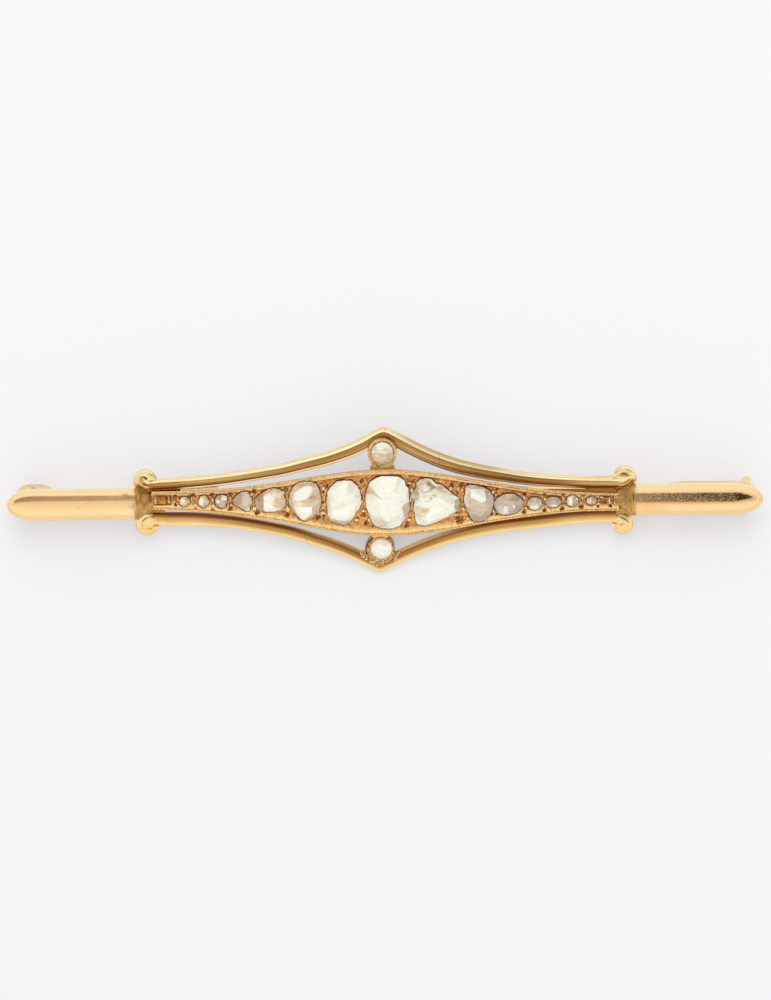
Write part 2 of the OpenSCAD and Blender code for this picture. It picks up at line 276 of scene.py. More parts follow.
class Nodes:
    """Short calls for building the nodes of a material or a world."""

    def __init__(self, owner):
        owner.use_nodes = True
        self.owner = owner
        self.tree = owner.node_tree
        self.shader = self.tree.nodes.get("Principled BSDF") or self.tree.nodes["Background"]

    def feed(self, node, inputs):
        """Links or sets a node's inputs, given by name or number."""
        for key, value in inputs.items():
            if isinstance(value, bpy.types.NodeSocket):
                self.tree.links.new(value, node.inputs[key])
            else:
                node.inputs[key].default_value = value
        return node

    def node(self, kind, inputs, **settings):
        made = self.tree.nodes.new(kind)
        for key, value in settings.items():
            setattr(made, key, value)
        return self.feed(made, inputs)

    def math(self, operation, *values):
        return self.node("ShaderNodeMath", dict(enumerate(values)), operation=operation).outputs[0]

    def attribute(self, name):
        return self.node("ShaderNodeVertexColor", {}, layer_name=name).outputs

    def coordinates(self, kind):
        return self.node("ShaderNodeTexCoord", {}).outputs[kind]

    def noise(self, source, scale, detail=3.0, stretch=(1, 1, 1)):
        mapped = self.node("ShaderNodeMapping", {"Vector": source, "Scale": stretch}).outputs[0]
        inputs = {"Vector": mapped, "Scale": scale, "Detail": detail}
        return self.node("ShaderNodeTexNoise", inputs).outputs["Fac"]

    def spread(self, source, low, high, goal, start=0.0):
        """Value that runs from start to goal as the source runs from low to high."""
        inputs = {"Value": source, "From Min": low, "From Max": high, "To Min": start, "To Max": goal}
        return self.node("ShaderNodeMapRange", inputs).outputs["Result"]

    def stain(self, colour, factor, tone):
        """Colour multiplied by a tone, by a share from 0 to 1."""
        inputs = {0: factor, 6: colour, 7: (*tone, 1)}
        return self.node("ShaderNodeMix", inputs, data_type="RGBA", blend_type="MULTIPLY").outputs[2]


def gold_material(name, lines=0.0, scuffs=0.0, mottle=0.0, grain=0.0, grain_scale=9000):
    """Gold whose colour and roughness come from the tint.

    lines darkens thin streaks along the piece, scuffs roughens small patches, mottle browns cloudy patches,
    and grain raises a fine grain.
    """
    n = Nodes(bpy.data.materials.new(name))
    tinted = n.attribute("tint")
    place = n.coordinates("Object")
    flow = n.node("ShaderNodeUVMap", {}, uv_map="flow").outputs["UV"]
    colour = n.stain(tinted["Color"], n.spread(n.noise(place, 420, 4), 0.45, 0.7, 0.12), (0.8, 0.66, 0.45))
    if mottle:
        colour = n.stain(colour, n.spread(n.noise(place, 3400, 4), 0.5, 0.68, mottle), (0.55, 0.36, 0.2))
    if lines:
        streaks = n.noise(flow, 1.0, 3, (0.3, 26, 1))
        colour = n.stain(colour, n.spread(streaks, 0.5, 0.66, lines), (0.5, 0.34, 0.2))
    rough = tinted["Alpha"]
    if scuffs:
        rough = n.math("ADD", rough, n.spread(n.noise(place, 8000, 4, (0.7, 1, 1)), 0.42, 0.66, scuffs))
    inputs = {"Strength": grain, "Distance": 0.00003, "Height": n.noise(place, grain_scale, 3)}
    normal = n.node("ShaderNodeBump", inputs).outputs["Normal"]
    n.feed(n.shader, {"Metallic": 1.0, "Base Color": colour, "Roughness": rough, "Normal": normal})
    return n.owner


def diamond_material(name):
    """Stone whose facets are told apart by their tint, with faint clouds and fine cracks inside."""
    n = Nodes(bpy.data.materials.new(name))
    tinted = n.attribute("tint")
    place = n.coordinates("Object")
    # Duller facets show more of the clouds
    grey = n.node("ShaderNodeRGBToBW", {0: tinted["Color"]}).outputs[0]
    clouds = n.spread(n.noise(place, 2300, 5, (1, 1.6, 1)), 0.42, 0.7, 0.9)
    clouds = n.math("MULTIPLY", clouds, n.spread(grey, 0.5, 0.72, 0.3, 1.0))
    colour = n.stain(tinted["Color"], clouds, (0.74, 0.64, 0.52))
    cracks = n.math("COMPARE", n.noise(place, 1900, 2, (1.8, 0.7, 1)), 0.42, 0.006)
    colour = n.stain(colour, n.spread(cracks, 0, 1, 0.3), (0.72, 0.62, 0.5))
    n.feed(n.shader, {"Base Color": colour, "Roughness": tinted["Alpha"], "IOR": 2.42})
    return n.owner


RAIL_GOLD = gold_material("gold_rail", lines=0.28, grain=0.1)
BAR_GOLD = gold_material("gold_bar", scuffs=0.1, grain=0.05)
WORN_GOLD = gold_material("gold_worn", scuffs=0.15, grain=0.03)
ROUGH_GOLD = gold_material("gold_rough", mottle=0.55, grain=0.7, grain_scale=3600)
PLATE_GOLD = gold_material("gold_plate", mottle=0.45, grain=0.5, grain_scale=5200)
BEAD_GOLD = gold_material("gold_bead", mottle=0.12, grain=0.2)
DIAMOND = diamond_material("diamond")

# Rails: side, x of the point, reach there, (end reach, hollow) of each half, width at ends and at the point
RAILS = {
    "rail_upper": (1, -0.1, UPPER_PEAK, ((1.86, 2.86), (1.77, 3.75)), 0.95, 1.36),
    "rail_lower": (-1, -0.5, LOWER_PEAK, ((2.1, 3.58), (2.33, 3.46)), 1.06, 1.1),
}
# Thinner stretch of each rail: by how much, its middle and its half length
RAIL_THIN = {"rail_upper": (0.1, -7, 5), "rail_lower": (0.09, -9, 5)}
# Hand-made unevenness of a rail: how far its edge is pushed out at places along x
RAIL_PUSH = {
    "rail_upper": [
        (-20, 0), (-12, 0.02), (-10.2, -0.01), (-9, -0.08), (-7.1, -0.08), (-6.1, -0.12), (-5, -0.18),
        (-3, -0.2), (-2, -0.16), (-0.9, -0.05), (0, 0.026), (1.1, 0.12), (2.2, 0.12), (3.2, 0.09),
        (5.2, 0.04), (6.3, 0.03), (8.3, 0.07), (10.4, 0.09), (11.4, 0.05), (13, 0.03), (18, 0),
    ],
    "rail_lower": [
        (-20, 0.1), (-18.5, 0.15), (-16.4, 0.08), (-13.3, 0.04), (-10.2, 0.09), (-8.2, 0.08), (-6.1, 0.15),
        (-4, 0.09), (-2, 0.08), (-0.5, 0.03), (1.1, 0.01), (5.2, 0.02), (8.3, 0.07), (11.4, 0.13),
        (12.5, 0.15), (14.5, 0.12), (16, 0.06), (18, 0.03),
    ],
}
# Rail sections from outside in: share of the width, height, and a tint for each station
RAIL_SECTIONS = {
    "rail_upper": [
        (0.0, RAIL_EDGE_LOW, LIP, LIP, EDGE, LIP), (0.0, -0.74, LIP, LIP, EDGE, LIP),
        (0.03, -0.65, LIP, LIP, TAN_GOLD, LIP), (0.07, -0.605, PALE, PALE, TAN_GOLD, PALE),
        (0.14, -0.59, PALE, PALE, CREAM, PALE), (0.28, -0.59, PALE, PALE, CREAM, PALE),
        (0.31, -0.605, CREAM, OLIVE, OLIVE, OLIVE), (0.37, -0.61, MID, OLIVE, OLIVE, MID),
        (0.42, -0.6, AMBER, TAWNY, TAWNY, AMBER), (0.6, -0.605, AMBER, TAWNY, MID, AMBER),
        (0.7, -0.61, AMBER, MID, AMBER, STRAW), (0.75, -0.62, MID, MID, AMBER, MID),
        (0.785, -0.65, BROWN, RUST, TAWNY, BROWN), (0.825, -0.66, BROWN, RUST, MID, BROWN),
        (0.86, -0.66, LIP, LIP, STRAW, RUST), (0.97, -0.6, LIP, LIP, LIP, RUST),
        (1.0, -0.62, LIP, LIP, LIP, RUST), (1.0, -0.85, TAWNY, TAWNY, TAWNY, BROWN),
        (1.0, -RAIL_UNDER, BROWN, BROWN, BROWN, BROWN),
    ],
    "rail_lower": [
        (0.0, RAIL_EDGE_LOW, GOLD, GOLD, GOLD), (0.0, -0.78, GOLD, GOLD, GOLD),
        (0.04, -0.68, GOLD, GOLD, GOLD), (0.1, -0.62, GOLD, GOLD, GOLD), (0.17, -0.59, GOLD, GOLD, GOLD),
        (0.25, -0.585, GOLD, APRICOT, APRICOT), (0.36, -0.585, APRICOT, STRAW, STRAW),
        (0.48, -0.595, STRAW, MID, TAWNY), (0.7, -0.61, AMBER, MID, TAWNY),
        (0.78, -0.64, TAWNY, RUST, RUST), (0.9, -0.66, RUST, BROWN, MID), (1.0, -0.69, BROWN, BROWN, STRAW),
        (1.0, -0.8, BROWN, BROWN, STRAW), (1.0, -0.95, BROWN, TAWNY, STRAW), (1.0, -1.2, BROWN, LIP, LIP),
        (1.0, -RAIL_UNDER, LIP, LIP, LIP),
    ],
}
# Where along x each station's tints hold; in between they fade into one another
RAIL_STATIONS = {
    "rail_upper": [
        (-18, 3), (-17, 0), (-15, 0), (-6, 1), (0.2, 1), (2.5, 2), (8.5, 2), (11.5, 1), (15, 1), (17.2, 3),
    ],
    "rail_lower": [
        (-17.5, 0), (-12.5, 1), (-9, 1), (-3, 2), (3, 2), (9, 1), (12.5, 1), (16.5, 0),
    ],
}
# Solder seam and nicks across the rails, as place along x and the shares of the width that each crosses
RAIL_MARKS = {"rail_upper": [(4.72, 0.1, 0.8)], "rail_lower": [(-18.7, 0.3, 0.6), (-6.79, 0.1, 0.8)]}
MARK_SPREAD = 0.05
MARK_DEPTH = 0.03
RAIL_INSET = 0.03
# How far along x a rail's extra width at its point reaches
RAIL_SWELL = 10.5
# Sections along each half of a rail, and how closely they crowd at its point
RAIL_STEPS = 110
RAIL_CROWD = 1.5


def rail_push(name, x):
    return float(np.interp(x, *zip(*RAIL_PUSH[name])))


def rail_reach(name, x):
    """Outer edge of a rail as a distance from the middle line."""
    _, peak_x, peak, halves, _, _ = RAILS[name]
    end, hollow = halves[0 if x < peak_x else 1]
    soft = math.hypot(x - peak_x, PEAK_ROUND) - PEAK_ROUND
    return end + (peak - end) * (1 - soft / RAIL_RUN) ** hollow + rail_push(name, x)


def rail_width(name, x):
    ends, point = RAILS[name][4:]
    less, middle, length = RAIL_THIN[name]
    return ends + (point - ends) * ridge(x, 0, RAIL_SWELL) - less * ridge(x, middle, length)


def rail_tones(name, x):
    """Tint of each section point of a rail at x."""
    stations = RAIL_STATIONS[name]
    x = min(max(x, stations[0][0]), stations[-1][0])
    for (low, a), (high, b) in zip(stations, stations[1:]):
        if x <= high:
            share = float(ease(x, low, high))
            return [blend(tones[a], tones[b], share) for _, _, *tones in RAIL_SECTIONS[name]]


def rail_shape(name):
    section = RAIL_SECTIONS[name]
    side, peak_x = RAILS[name][:2]
    steps = [(i / RAIL_STEPS) ** RAIL_CROWD for i in range(RAIL_STEPS + 1)]
    xs = [peak_x - (RAIL_END_X + peak_x) * step for step in steps[:0:-1]]
    xs += [peak_x + (RAIL_END_X - peak_x) * step for step in steps]
    marks = RAIL_MARKS[name]
    xs += [place + MARK_SPREAD * k for place, _, _ in marks for k in (-1, -0.5, 0, 0.5, 1)]
    rings, tints = [], []
    for x in sorted(xs):
        out, width = rail_reach(name, x), rail_width(name, x)
        place, start, stop = min(marks, key=lambda row: abs(x - row[0]))
        mark = max(0.0, 1 - abs(x - place) / MARK_SPREAD)
        ring = []
        for (share, z, *_), tone in zip(section, rail_tones(name, x)):
            cut = mark * (start < share < stop)
            ring.append((x, side * (out - share * width - RAIL_INSET), z - MARK_DEPTH * cut))
            tints.append(blend(tone, OLIVE, 0.5 * cut))
        ring.append((x, side * (out - RAIL_UNDERCUT - max(0.0, rail_push(name, x))), -RAIL_UNDER))
        tints.append(GOLD)
        rings.append(ring)
    return Shape().loft(rings, tints, [1.1 * row[0] for row in section] + [0.3])


def oval(length, width, sides, turn=0.0, square=2.3, centre=(0, 0)):
    """Outline of a small stone; square over 2 fills its corners."""
    points = []
    for k in range(sides):
        a = 2 * math.pi * (k + 0.5) / sides + math.radians(turn)
        c, s = math.cos(a), math.sin(a)
        grow = (abs(c) ** square + abs(s) ** square) ** (-1 / square)
        points.append((centre[0] + length / 2 * grow * c, centre[1] + width / 2 * grow * s))
    return points


def trace(*flat):
    """Outline from x and y in turn, in hundredths of a millimetre."""
    return [(x / 100, y / 100) for x, y in zip(flat[::2], flat[1::2])]


def hundredths(*rows):
    """Rows of a table that is written in hundredths."""
    return [tuple(v / 100 for v in row) for row in rows]


GLARE = stone_tint(266, 262, 244)
WHITE = stone_tint(252, 252, 236)
MILK = stone_tint(251, 246, 231)
SHELL = stone_tint(246, 231, 206)
PEARL = stone_tint(236, 225, 208)
FAWN = stone_tint(228, 204, 168)
BEIGE = stone_tint(220, 200, 172)
DOVE = stone_tint(212, 194, 172)
LILAC = stone_tint(202, 187, 170)
MAUVE = stone_tint(190, 166, 144)
PINK = stone_tint(216, 170, 160)
HAZEL = stone_tint(200, 160, 124)
MOSS = stone_tint(192, 182, 148)
UMBER = stone_tint(178, 154, 120)
GREY = stone_tint(205, 199, 184)

# Stones: middle x and y, outline, crown height, tint of the body, and facets laid one over the other.
# A facet is a tint, painting the reflections and shade that it shows over the stone's own tone, and its
# outline from the stone's middle, as x and y in turn, in hundredths.
STONES = {
    "diamond_01": (-17.2, 0.25, oval(0.88, 0.84, 8, square=4, centre=(0.0, 0.05)), 0.2, FAWN, [
        (MAUVE, 5, -35, 45, -30, 45, 30, 25, 10),
        (MILK, -40, -10, -10, -10, 0, 30, -30, 40)]),
    "diamond_02": (-15.57, 0.22, trace(-45, 9, -40, -28, 2, -52, 38, -22, 50, 11, 20, 63, -27, 57), 0.26,
        BEIGE, [
        (LILAC, -50, -50, 50, -50, 45, -10, -10, -20),
        (WHITE, -42, -15, -10, -20, -2, 35, -25, 50, -45, 10),
        (FAWN, -2, 30, 15, 10, 30, 35, 10, 55)]),
    "diamond_03": (-14.0, 0.21, trace(-62, 20, -50, -30, -10, -52, 30, -42, 47, 5, 42, 55, 0, 70, -40, 60),
        0.28, MAUVE, [
        (WHITE, -5, 30, 40, 20, 45, 60, 0, 70),
        (WHITE, -50, 5, -25, -5, -20, 25, -45, 30),
        (GREY, -20, -10, 25, -15, 20, 20, -10, 30),
        (BEIGE, -20, -50, 30, -45, 25, -15, -20, -15)]),
    "diamond_04": (-12.33, 0.26, trace(-78, 9, -59, -23, -22, -48, 34, -83, 72, -83, 72, -48, 90, -23, 90,
        28, 72, 60, 53, 90, 3, 88, -41, 53), 0.34, DOVE, [
        (MAUVE, -80, 10, -40, -35, 0, -10, 10, 30, 0, 90),
        (BEIGE, 10, 20, 20, -30, 70, -40, 90, 20, 50, 90, 5, 90),
        (FAWN, 15, 30, 25, -20, 70, -20, 70, 35, 30, 45),
        (WHITE, 35, -80, 68, -80, 70, -50, 55, -45),
        (MILK, 25, 55, 60, 40, 65, 65, 30, 75),
        (WHITE, 80, -20, 90, -20, 90, 5, 80, 0)]),
    "diamond_05": (-9.94, 0.32, trace(-122, 19, -122, -22, -113, -62, -75, -88, -27, -100, 44, -100, 101,
        -83, 135, -42, 140, 9, 120, 64, 92, 100, 44, 113, -3, 105, -51, 75), 0.46, SHELL, [
        (BEIGE, -60, 50, 0, 80, 90, 75, 100, 100, 40, 120, -60, 90),
        (DOVE, 100, -90, 145, -40, 145, 20, 100, 90, 105, 20),
        (MAUVE, -125, 25, -120, -70, -50, -95, -45, -55, -50, 50, -60, 80),
        (HAZEL, -90, 5, -55, -25, -50, 25, -60, 50),
        (FAWN, 40, -40, 100, -50, 105, 30, 50, 40),
        (MILK, -45, 10, 30, 5, 40, 40, 0, 70, -45, 40),
        (GLARE, -50, -60, -35, -90, 30, -90, 90, -75, 40, -50, 0, -5, -45, 0)]),
    "diamond_06": (-6.81, 0.1, trace(-148, 23, -138, -23, -114, -63, -81, -109, -38, -155, -5, -165, 57,
        -135, 105, -89, 129, -28, 133, 38, 119, 109, 95, 165, 57, 190, -14, 193, -57, 185, -100, 155, -133,
        89), 0.58, BEIGE, [
        (FAWN, -110, 45, -100, -30, -60, -20, 60, -20, 110, -10, 120, 45),
        (SHELL, -110, 45, -100, -30, -60, -20, -30, -20, -40, 45),
        (WHITE, -105, 45, -30, 40, 10, 55, 45, 90, 65, 140, 55, 160, -10, 160, -50, 140, -100, 100),
        (PINK, -20, 165, 60, 160, 90, 160, 60, 185, 0, 190),
        (HAZEL, 10, 50, 50, 45, 115, 45, 110, 60, 80, 75, 50, 85),
        (GLARE, -100, -30, -75, -95, -40, -145, -10, -155, 10, -120, 50, -90, 55, -20, -60, -20),
        (DOVE, 55, -20, 50, -90, 10, -120, 0, -150, 50, -120, 95, -90, 120, -30, 110, -10)]),
    "diamond_07": (-3.54, -0.02, trace(-150, 31, -140, -101, -107, -149, -59, -175, 0, -191, 55, -159, 84,
        -123, 108, -75, 131, -49, 150, 0, 148, 73, 131, 125, 103, 174, 65, 208, 0, 210, -59, 202, -111, 152,
        -140, 104), 0.66, MILK, [
        (GLARE, -100, -40, -90, -120, 30, -130, 90, -90, 110, 0, 30, 10, -10, -30),
        (WHITE, -60, 50, 50, 40, 80, 120, 30, 180, -40, 170, -100, 120),
        (SHELL, -90, -35, -30, -20, 0, -15, 25, -5, 10, 5, -10, 0),
        (PEARL, 95, 70, 135, 50, 145, 80, 100, 95),
        (GREY, -110, -135, -60, -175, 0, -185, 60, -150, 30, -150, -50, -140),
        (BEIGE, -160, 80, -150, -60, -133, -90, -133, 90)]),
    "diamond_08": (0.17, -0.05, trace(-186, 28, -176, -30, -156, -105, -126, -170, -100, -197, -55, -218, 0,
        -226, 46, -226, 107, -202, 127, -170, 172, -127, 192, -52, 192, 18, 187, 71, 182, 141, 157, 168,
        155, 200, 137, 221, 96, 245, 26, 250, -45, 249, -95, 232, -141, 200, -156, 173, -181, 93), 0.78,
        WHITE, [
        (BEIGE, -195, 150, -180, 95, -105, 100, -95, 120, -140, 165, -175, 170),
        (FAWN, -125, 145, -105, 100, -80, 78, -40, 65, -90, 115),
        (UMBER, -195, 30, -185, 30, -180, 95, -195, 90),
        (SHELL, -136, -95, -120, -135, 6, -143, -55, -100),
        (FAWN, -120, -135, -110, -164, -55, -197, 0, -197, 6, -143),
        (LILAC, 127, -9, 139, -63, 142, -116, 162, -127, 190, -79, 192, 12, 177, 23),
        (SHELL, 95, 35, 130, 30, 160, 55, 135, 50)]),
    "diamond_09": (4.32, 0.04, trace(-176, 12, -187, -31, -176, -106, -171, -160, -156, -197, -95, -210,
        -45, -203, 31, -170, 107, -133, 172, -90, 203, -63, 218, -10, 198, 39, 157, 65, 112, 108, 56, 156,
        6, 167, -35, 210, -70, 218, -126, 210, -161, 178, -161, 135, -202, 87, -217, 42), 0.72, WHITE, [
        (BEIGE, -165, 130, -100, 100, -35, 120, -10, 150, -30, 190, -60, 220, -130, 210, -165, 175),
        (PEARL, -135, 135, -90, 115, -45, 135, -50, 175, -100, 190),
        (WHITE, -100, 130, -60, 125, -45, 160, -85, 165),
        (BEIGE, 6, 130, 76, 92, 160, 60, 112, 110, 56, 160, 6, 170),
        (UMBER, -75, 188, -15, 130, 6, 146, -50, 195),
        (MOSS, -220, 45, -175, 15, -140, 50, -135, 90, -160, 135, -205, 90),
        (PEARL, -135, 75, -95, 55, -60, 80, -90, 105),
        (FAWN, -35, 85, -5, 70, 10, 85, -15, 98),
        (BEIGE, -100, 25, -80, 20, -65, 32, -85, 38),
        (SHELL, -175, -20, -175, -106, -126, -150, -80, -106, -45, -20),
        (FAWN, -130, -36, -125, -74, -60, -74, -50, -36),
        (SHELL, -95, 35, -60, 20, -20, 40, -50, 55),
        (UMBER, -55, 62, -40, 50, -22, 60, -38, 70),
        (GLARE, -30, -30, 40, -35, 160, -30, 155, -80, 90, -120, 0, -150, -60, -170, -90, -120),
        (MILK, 20, 30, 120, 10, 150, -20, 40, -30),
        (UMBER, 167, 28, 162, -30, 175, -70, 205, -65, 225, -10, 195, 40)]),
    "diamond_10": (7.88, -0.25, trace(-100, 102, -110, 71, -107, 20, -88, -30, -60, -102, -31, -142, 36,
        -147, 74, -132, 112, -91, 131, -41, 145, 20, 140, 76, 112, 127, 55, 162, 2, 180, -69, 183, -95,
        168), 0.52, DOVE, [
        (PEARL, -115, 0, -65, -10, -60, 160, -100, 170),
        (LILAC, 74, 140, 80, 70, 75, 40, 70, -50, 100, -90, 135, -40, 150, 20, 145, 80, 110, 135),
        (WHITE, -55, 86, 12, 51, 45, 36, 79, 61, 74, 112, 60, 147, -50, 157),
        (FAWN, -60, 81, -60, 20, -20, 0, 74, 0, 74, 41, 45, 30, 12, 48),
        (BEIGE, -60, 15, -75, -50, -50, -95, 20, -95, 70, -50, 74, 0),
        (MAUVE, -55, -95, -20, -145, 60, -145, 100, -90, 75, -60, 20, -95)]),
    "diamond_11": (10.57, -0.2, trace(-122, 18, -119, -19, -94, -69, -63, -94, 6, -94, 75, -76, 113, -32,
        131, 12, 106, 56, 56, 90, 0, 96, -44, 87, -94, 56), 0.4, LILAC, [
        (DOVE, -90, 30, 0, 10, 70, 30, 50, 90, -40, 90),
        (MAUVE, 60, -10, 130, 10, 110, -35, 70, -75, 30, -60),
        (PEARL, -90, -10, -50, -10, -50, -70, -80, -70),
        (WHITE, -35, -5, -45, -40, -50, -85, -5, -85, 0, -45, -5, 0),
        (WHITE, 30, 5, 55, -30, 60, 0)]),
    "diamond_12": (12.88, -0.16, oval(1.31, 1.13, 9, 12, centre=(-0.02, 0)), 0.28, BEIGE, [
        (GREY, -70, 5, 70, 5, 60, 60, -60, 60),
        (WHITE, -45, -10, -35, -60, 30, -60, 25, -10),
        (LILAC, 25, -10, 30, -60, 70, -30, 70, 10)]),
    "diamond_13": (14.43, -0.09, oval(1.37, 0.97, 9, centre=(0.01, 0.06)), 0.28, MAUVE, [
        (PEARL, -50, -10, -30, -45, 30, -45, 50, -10),
        (WHITE, -10, -12, -10, -40, 25, -40, 25, -15),
        (LILAC, -40, 10, 20, 10, 30, 50, -30, 50)]),
    "diamond_14": (16.11, -0.04, oval(1.05, 1.02, 9, centre=(-0.02, 0.09)), 0.26, LILAC, [
        (PEARL, -50, 35, -5, 40, 20, 60, -30, 62),
        (WHITE, -42, -30, -5, -25, -5, 42, -40, 42),
        (WHITE, 30, 30, 45, 25, 40, 40),
        (MAUVE, 0, -40, 40, -20, 35, 5, 0, -5)]),
    "diamond_15": (17.7, -0.0, oval(0.9, 0.78, 8, 15, centre=(0.03, 0.06)), 0.24, UMBER, [
        (PEARL, -40, -15, -15, -20, -15, 30, -35, 35),
        (WHITE, -12, -15, -4, -20, 0, 35, -10, 35),
        (BEIGE, 10, -30, 45, -10, 45, 30, 15, 20)]),
    "diamond_top": (-0.2, 4.45, oval(1.92, 2.18, 14, square=2, centre=(0, -0.12)), 0.4, FAWN, [
        (PEARL, -100, 5, -50, 0, 0, 5, 50, 0, 100, 5, 70, 90, -70, 90),
        (MILK, -50, 35, 10, 45, 45, 75, 0, 95, -60, 80),
        (SHELL, -40, 40, -20, 5, 30, 0, 40, 30),
        (WHITE, 25, 50, 50, 40, 60, 65, 35, 70),
        (MAUVE, -90, 0, -40, -10, -50, -2),
        (MAUVE, -20, -5, 35, -20, 80, 0, 30, -8),
        (WHITE, -65, -15, -35, -30, -45, -10),
        (FAWN, -80, -30, -30, -35, -40, -80, -70, -65),
        (DOVE, -20, -50, 40, -40, 50, -80, -10, -90),
        (BEIGE, 50, -10, 85, -15, 75, -60, 50, -45)]),
    "diamond_bottom": (-0.45, -4.45, oval(1.84, 1.84, 14, square=2, centre=(0.1, 0.13)), 0.38, WHITE, [
        (MILK, -70, 30, -20, 60, -30, 95, -80, 70),
        (PEARL, 25, 5, 40, 0, 42, 15, 30, 20),
        (SHELL, -60, -50, -40, -75, -20, -60, -40, -45)]),
}
COLLET_STONES = ("diamond_top", "diamond_bottom")
# Girdle above and below the metal's face, and how much smaller the table and the back are than it
GIRDLE_TOP, GIRDLE_FOOT = 0.06, 0.03
TABLE_SHARE = 0.5
BACK_SHARE = 0.86
# How far facets that meet fade into one another
FACET_SOFTNESS = 0.4


def outline_distance(px, py, outline):
    """Signed distance of grid points from a closed outline, negative inside."""
    points = np.array(outline)
    best = np.full(px.shape, 1e9)
    inside = np.zeros(px.shape, dtype=bool)
    for (ax, ay), (bx, by) in zip(points, np.roll(points, -1, axis=0)):
        dx, dy = bx - ax, by - ay
        t = np.clip(((px - ax) * dx + (py - ay) * dy) / (dx * dx + dy * dy), 0, 1)
        best = np.minimum(best, np.hypot(px - ax - t * dx, py - ay - t * dy))
        inside ^= ((ay > py) != (by > py)) & (px < (bx - ax) * (py - ay) / (by - ay + 1e-12) + ax)
    return np.where(inside, -best, best)


def turned_left(loop):
    """The same outline, running counter-clockwise."""
    area = sum(a[0] * b[1] - a[1] * b[0] for a, b in zip(loop, loop[1:] + loop[:1]))
    return loop if area > 0 else loop[::-1]


def cut_stone(name):
    """Stone with a flat back, a girdle and a crown whose facets each have a tint that paints their
    reflections and shade.
    """
    x, y, outline, rise, body_tint, facets = STONES[name]
    face = COLLET_FACE if name in COLLET_STONES else PLATE_TOP
    length = max(p[0] for p in outline) - min(p[0] for p in outline)
    floor = face - 0.1 - 0.16 * length
    centre = [sum(p[k] for p in outline) / len(outline) for k in (0, 1)]
    table = [[c + TABLE_SHARE * (v - c) for v, c in zip(p, centre)] for p in outline]
    flat, rims = [], []
    for loop in [outline, table] + [trace(*flat_row) for _, *flat_row in facets]:
        rims.append(list(range(len(flat), len(flat) + len(loop))))
        flat += [Vector(p) for p in turned_left(loop)]
    points, _, triangles, _, _, owners = delaunay_2d_cdt(flat, [], rims, 1, 1e-4)
    xs, ys = np.array([p.x for p in points]), np.array([p.y for p in points])
    inset = -outline_distance(xs, ys, outline)
    share = np.clip(inset / (0.8 * inset.max()), 0, 1)
    heights = face + GIRDLE_TOP + (rise - GIRDLE_TOP) * (1 - (1 - share) ** 2)
    verts = [(x + p.x, y + p.y, float(h)) for p, h in zip(points, heights)]
    top = [(tuple(f), o) for f, o in zip(triangles, owners) if 0 in o]
    faces = [f for f, _ in top]
    # The table's own outline only shapes the crown, so it takes the tint below it
    tints = [body_tint, body_tint] + [row[0] for row in facets]
    marks = [tints[max((k for k in o if k != 1), default=0)] for _, o in top]
    edges = [pair for f in faces for pair in zip(f, f[1:] + f[:1])]
    known = set(edges)
    rim = [(a, b) for a, b in edges if (b, a) not in known]
    lower = {}
    for a, _ in rim:
        lower[a] = len(verts)
        back = [c + BACK_SHARE * (v - c) for v, c in zip(points[a], centre)]
        verts += [(x + points[a].x, y + points[a].y, face - GIRDLE_FOOT), (x + back[0], y + back[1], floor)]
    middle = len(verts)
    verts.append((x + centre[0], y + centre[1], floor))
    for a, b in rim:
        c, d = lower[a], lower[b]
        faces += [(b, a, c, d), (d, c, c + 1, d + 1), (d + 1, c + 1, middle)]
        marks += [body_tint] * 3
    mesh = bpy.data.meshes.new(name + "_stone")
    mesh.from_pydata([LAID @ Vector(v) for v in verts], [], faces)
    face_outward(mesh)
    colour = mesh.color_attributes.new("tint", "FLOAT_COLOR", "CORNER")
    around = {}
    for polygon in mesh.polygons:
        for vertex in polygon.vertices:
            around.setdefault(vertex, []).append(marks[polygon.index])
    for polygon in mesh.polygons:
        for loop in polygon.loop_indices:
            met = around[mesh.loops[loop].vertex_index]
            mean = tuple(sum(values) / len(met) for values in zip(*met))
            colour.data[loop].color = blend(marks[polygon.index], mean, FACET_SOFTNESS)
    mesh.materials.append(DIAMOND)
    obj = in_scene(name + "_stone", mesh)
    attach(obj, "brooch")
    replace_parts(obj, name)


# Raised beads between the stones, in hundredths: x, y, half length, half width
BEADS = hundredths(
    (-1810, 30, 13, 16), (-1785, 15, 10, 12), (-1775, 45, 10, 16), (-1660, 54, 10, 18), (-1630, -3, 15, 20),
    (-1480, 47, 14, 16), (-1475, -8, 16, 18), (-1330, 57, 14, 16), (-1320, -5, 16, 16), (-1144, 89, 17, 17),
    (-1121, -39, 19, 22), (-876, 103, 17, 20), (-835, -46, 20, 33), (-529, 138, 20, 18),
    (-533, -85, 25, 18), (-545, 170, 12, 10), (-242, 153, 20, 16), (-220, 115, 12, 20), (-187, -69, 20, 16),
    (-246, -151, 20, 17), (-139, -153, 16, 20), (-195, 15, 10, 25), (212, 180, 20, 14), (230, 114, 14, 24),
    (204, -153, 20, 16), (220, 25, 10, 20), (564, 124, 18, 20), (629, 124, 12, 20), (662, 113, 12, 20),
    (609, -111, 30, 17), (671, -60, 17, 20), (709, -146, 17, 18), (671, -11, 7, 9), (928, 90, 15, 20),
    (952, 65, 14, 14), (933, -83, 16, 22), (925, 8, 8, 20), (1195, 38, 14, 18), (1210, -57, 15, 18),
    (1375, 21, 13, 20), (1380, -39, 12, 12), (1530, -32, 14, 13), (1530, 28, 12, 20), (1695, 29, 12, 24),
    (1685, -11, 10, 16), (1834, 10, 12, 13), (1834, -20, 12, 14), (1927, 5, 10, 36), (1860, 35, 20, 8),
    (1895, -30, 16, 7),
)
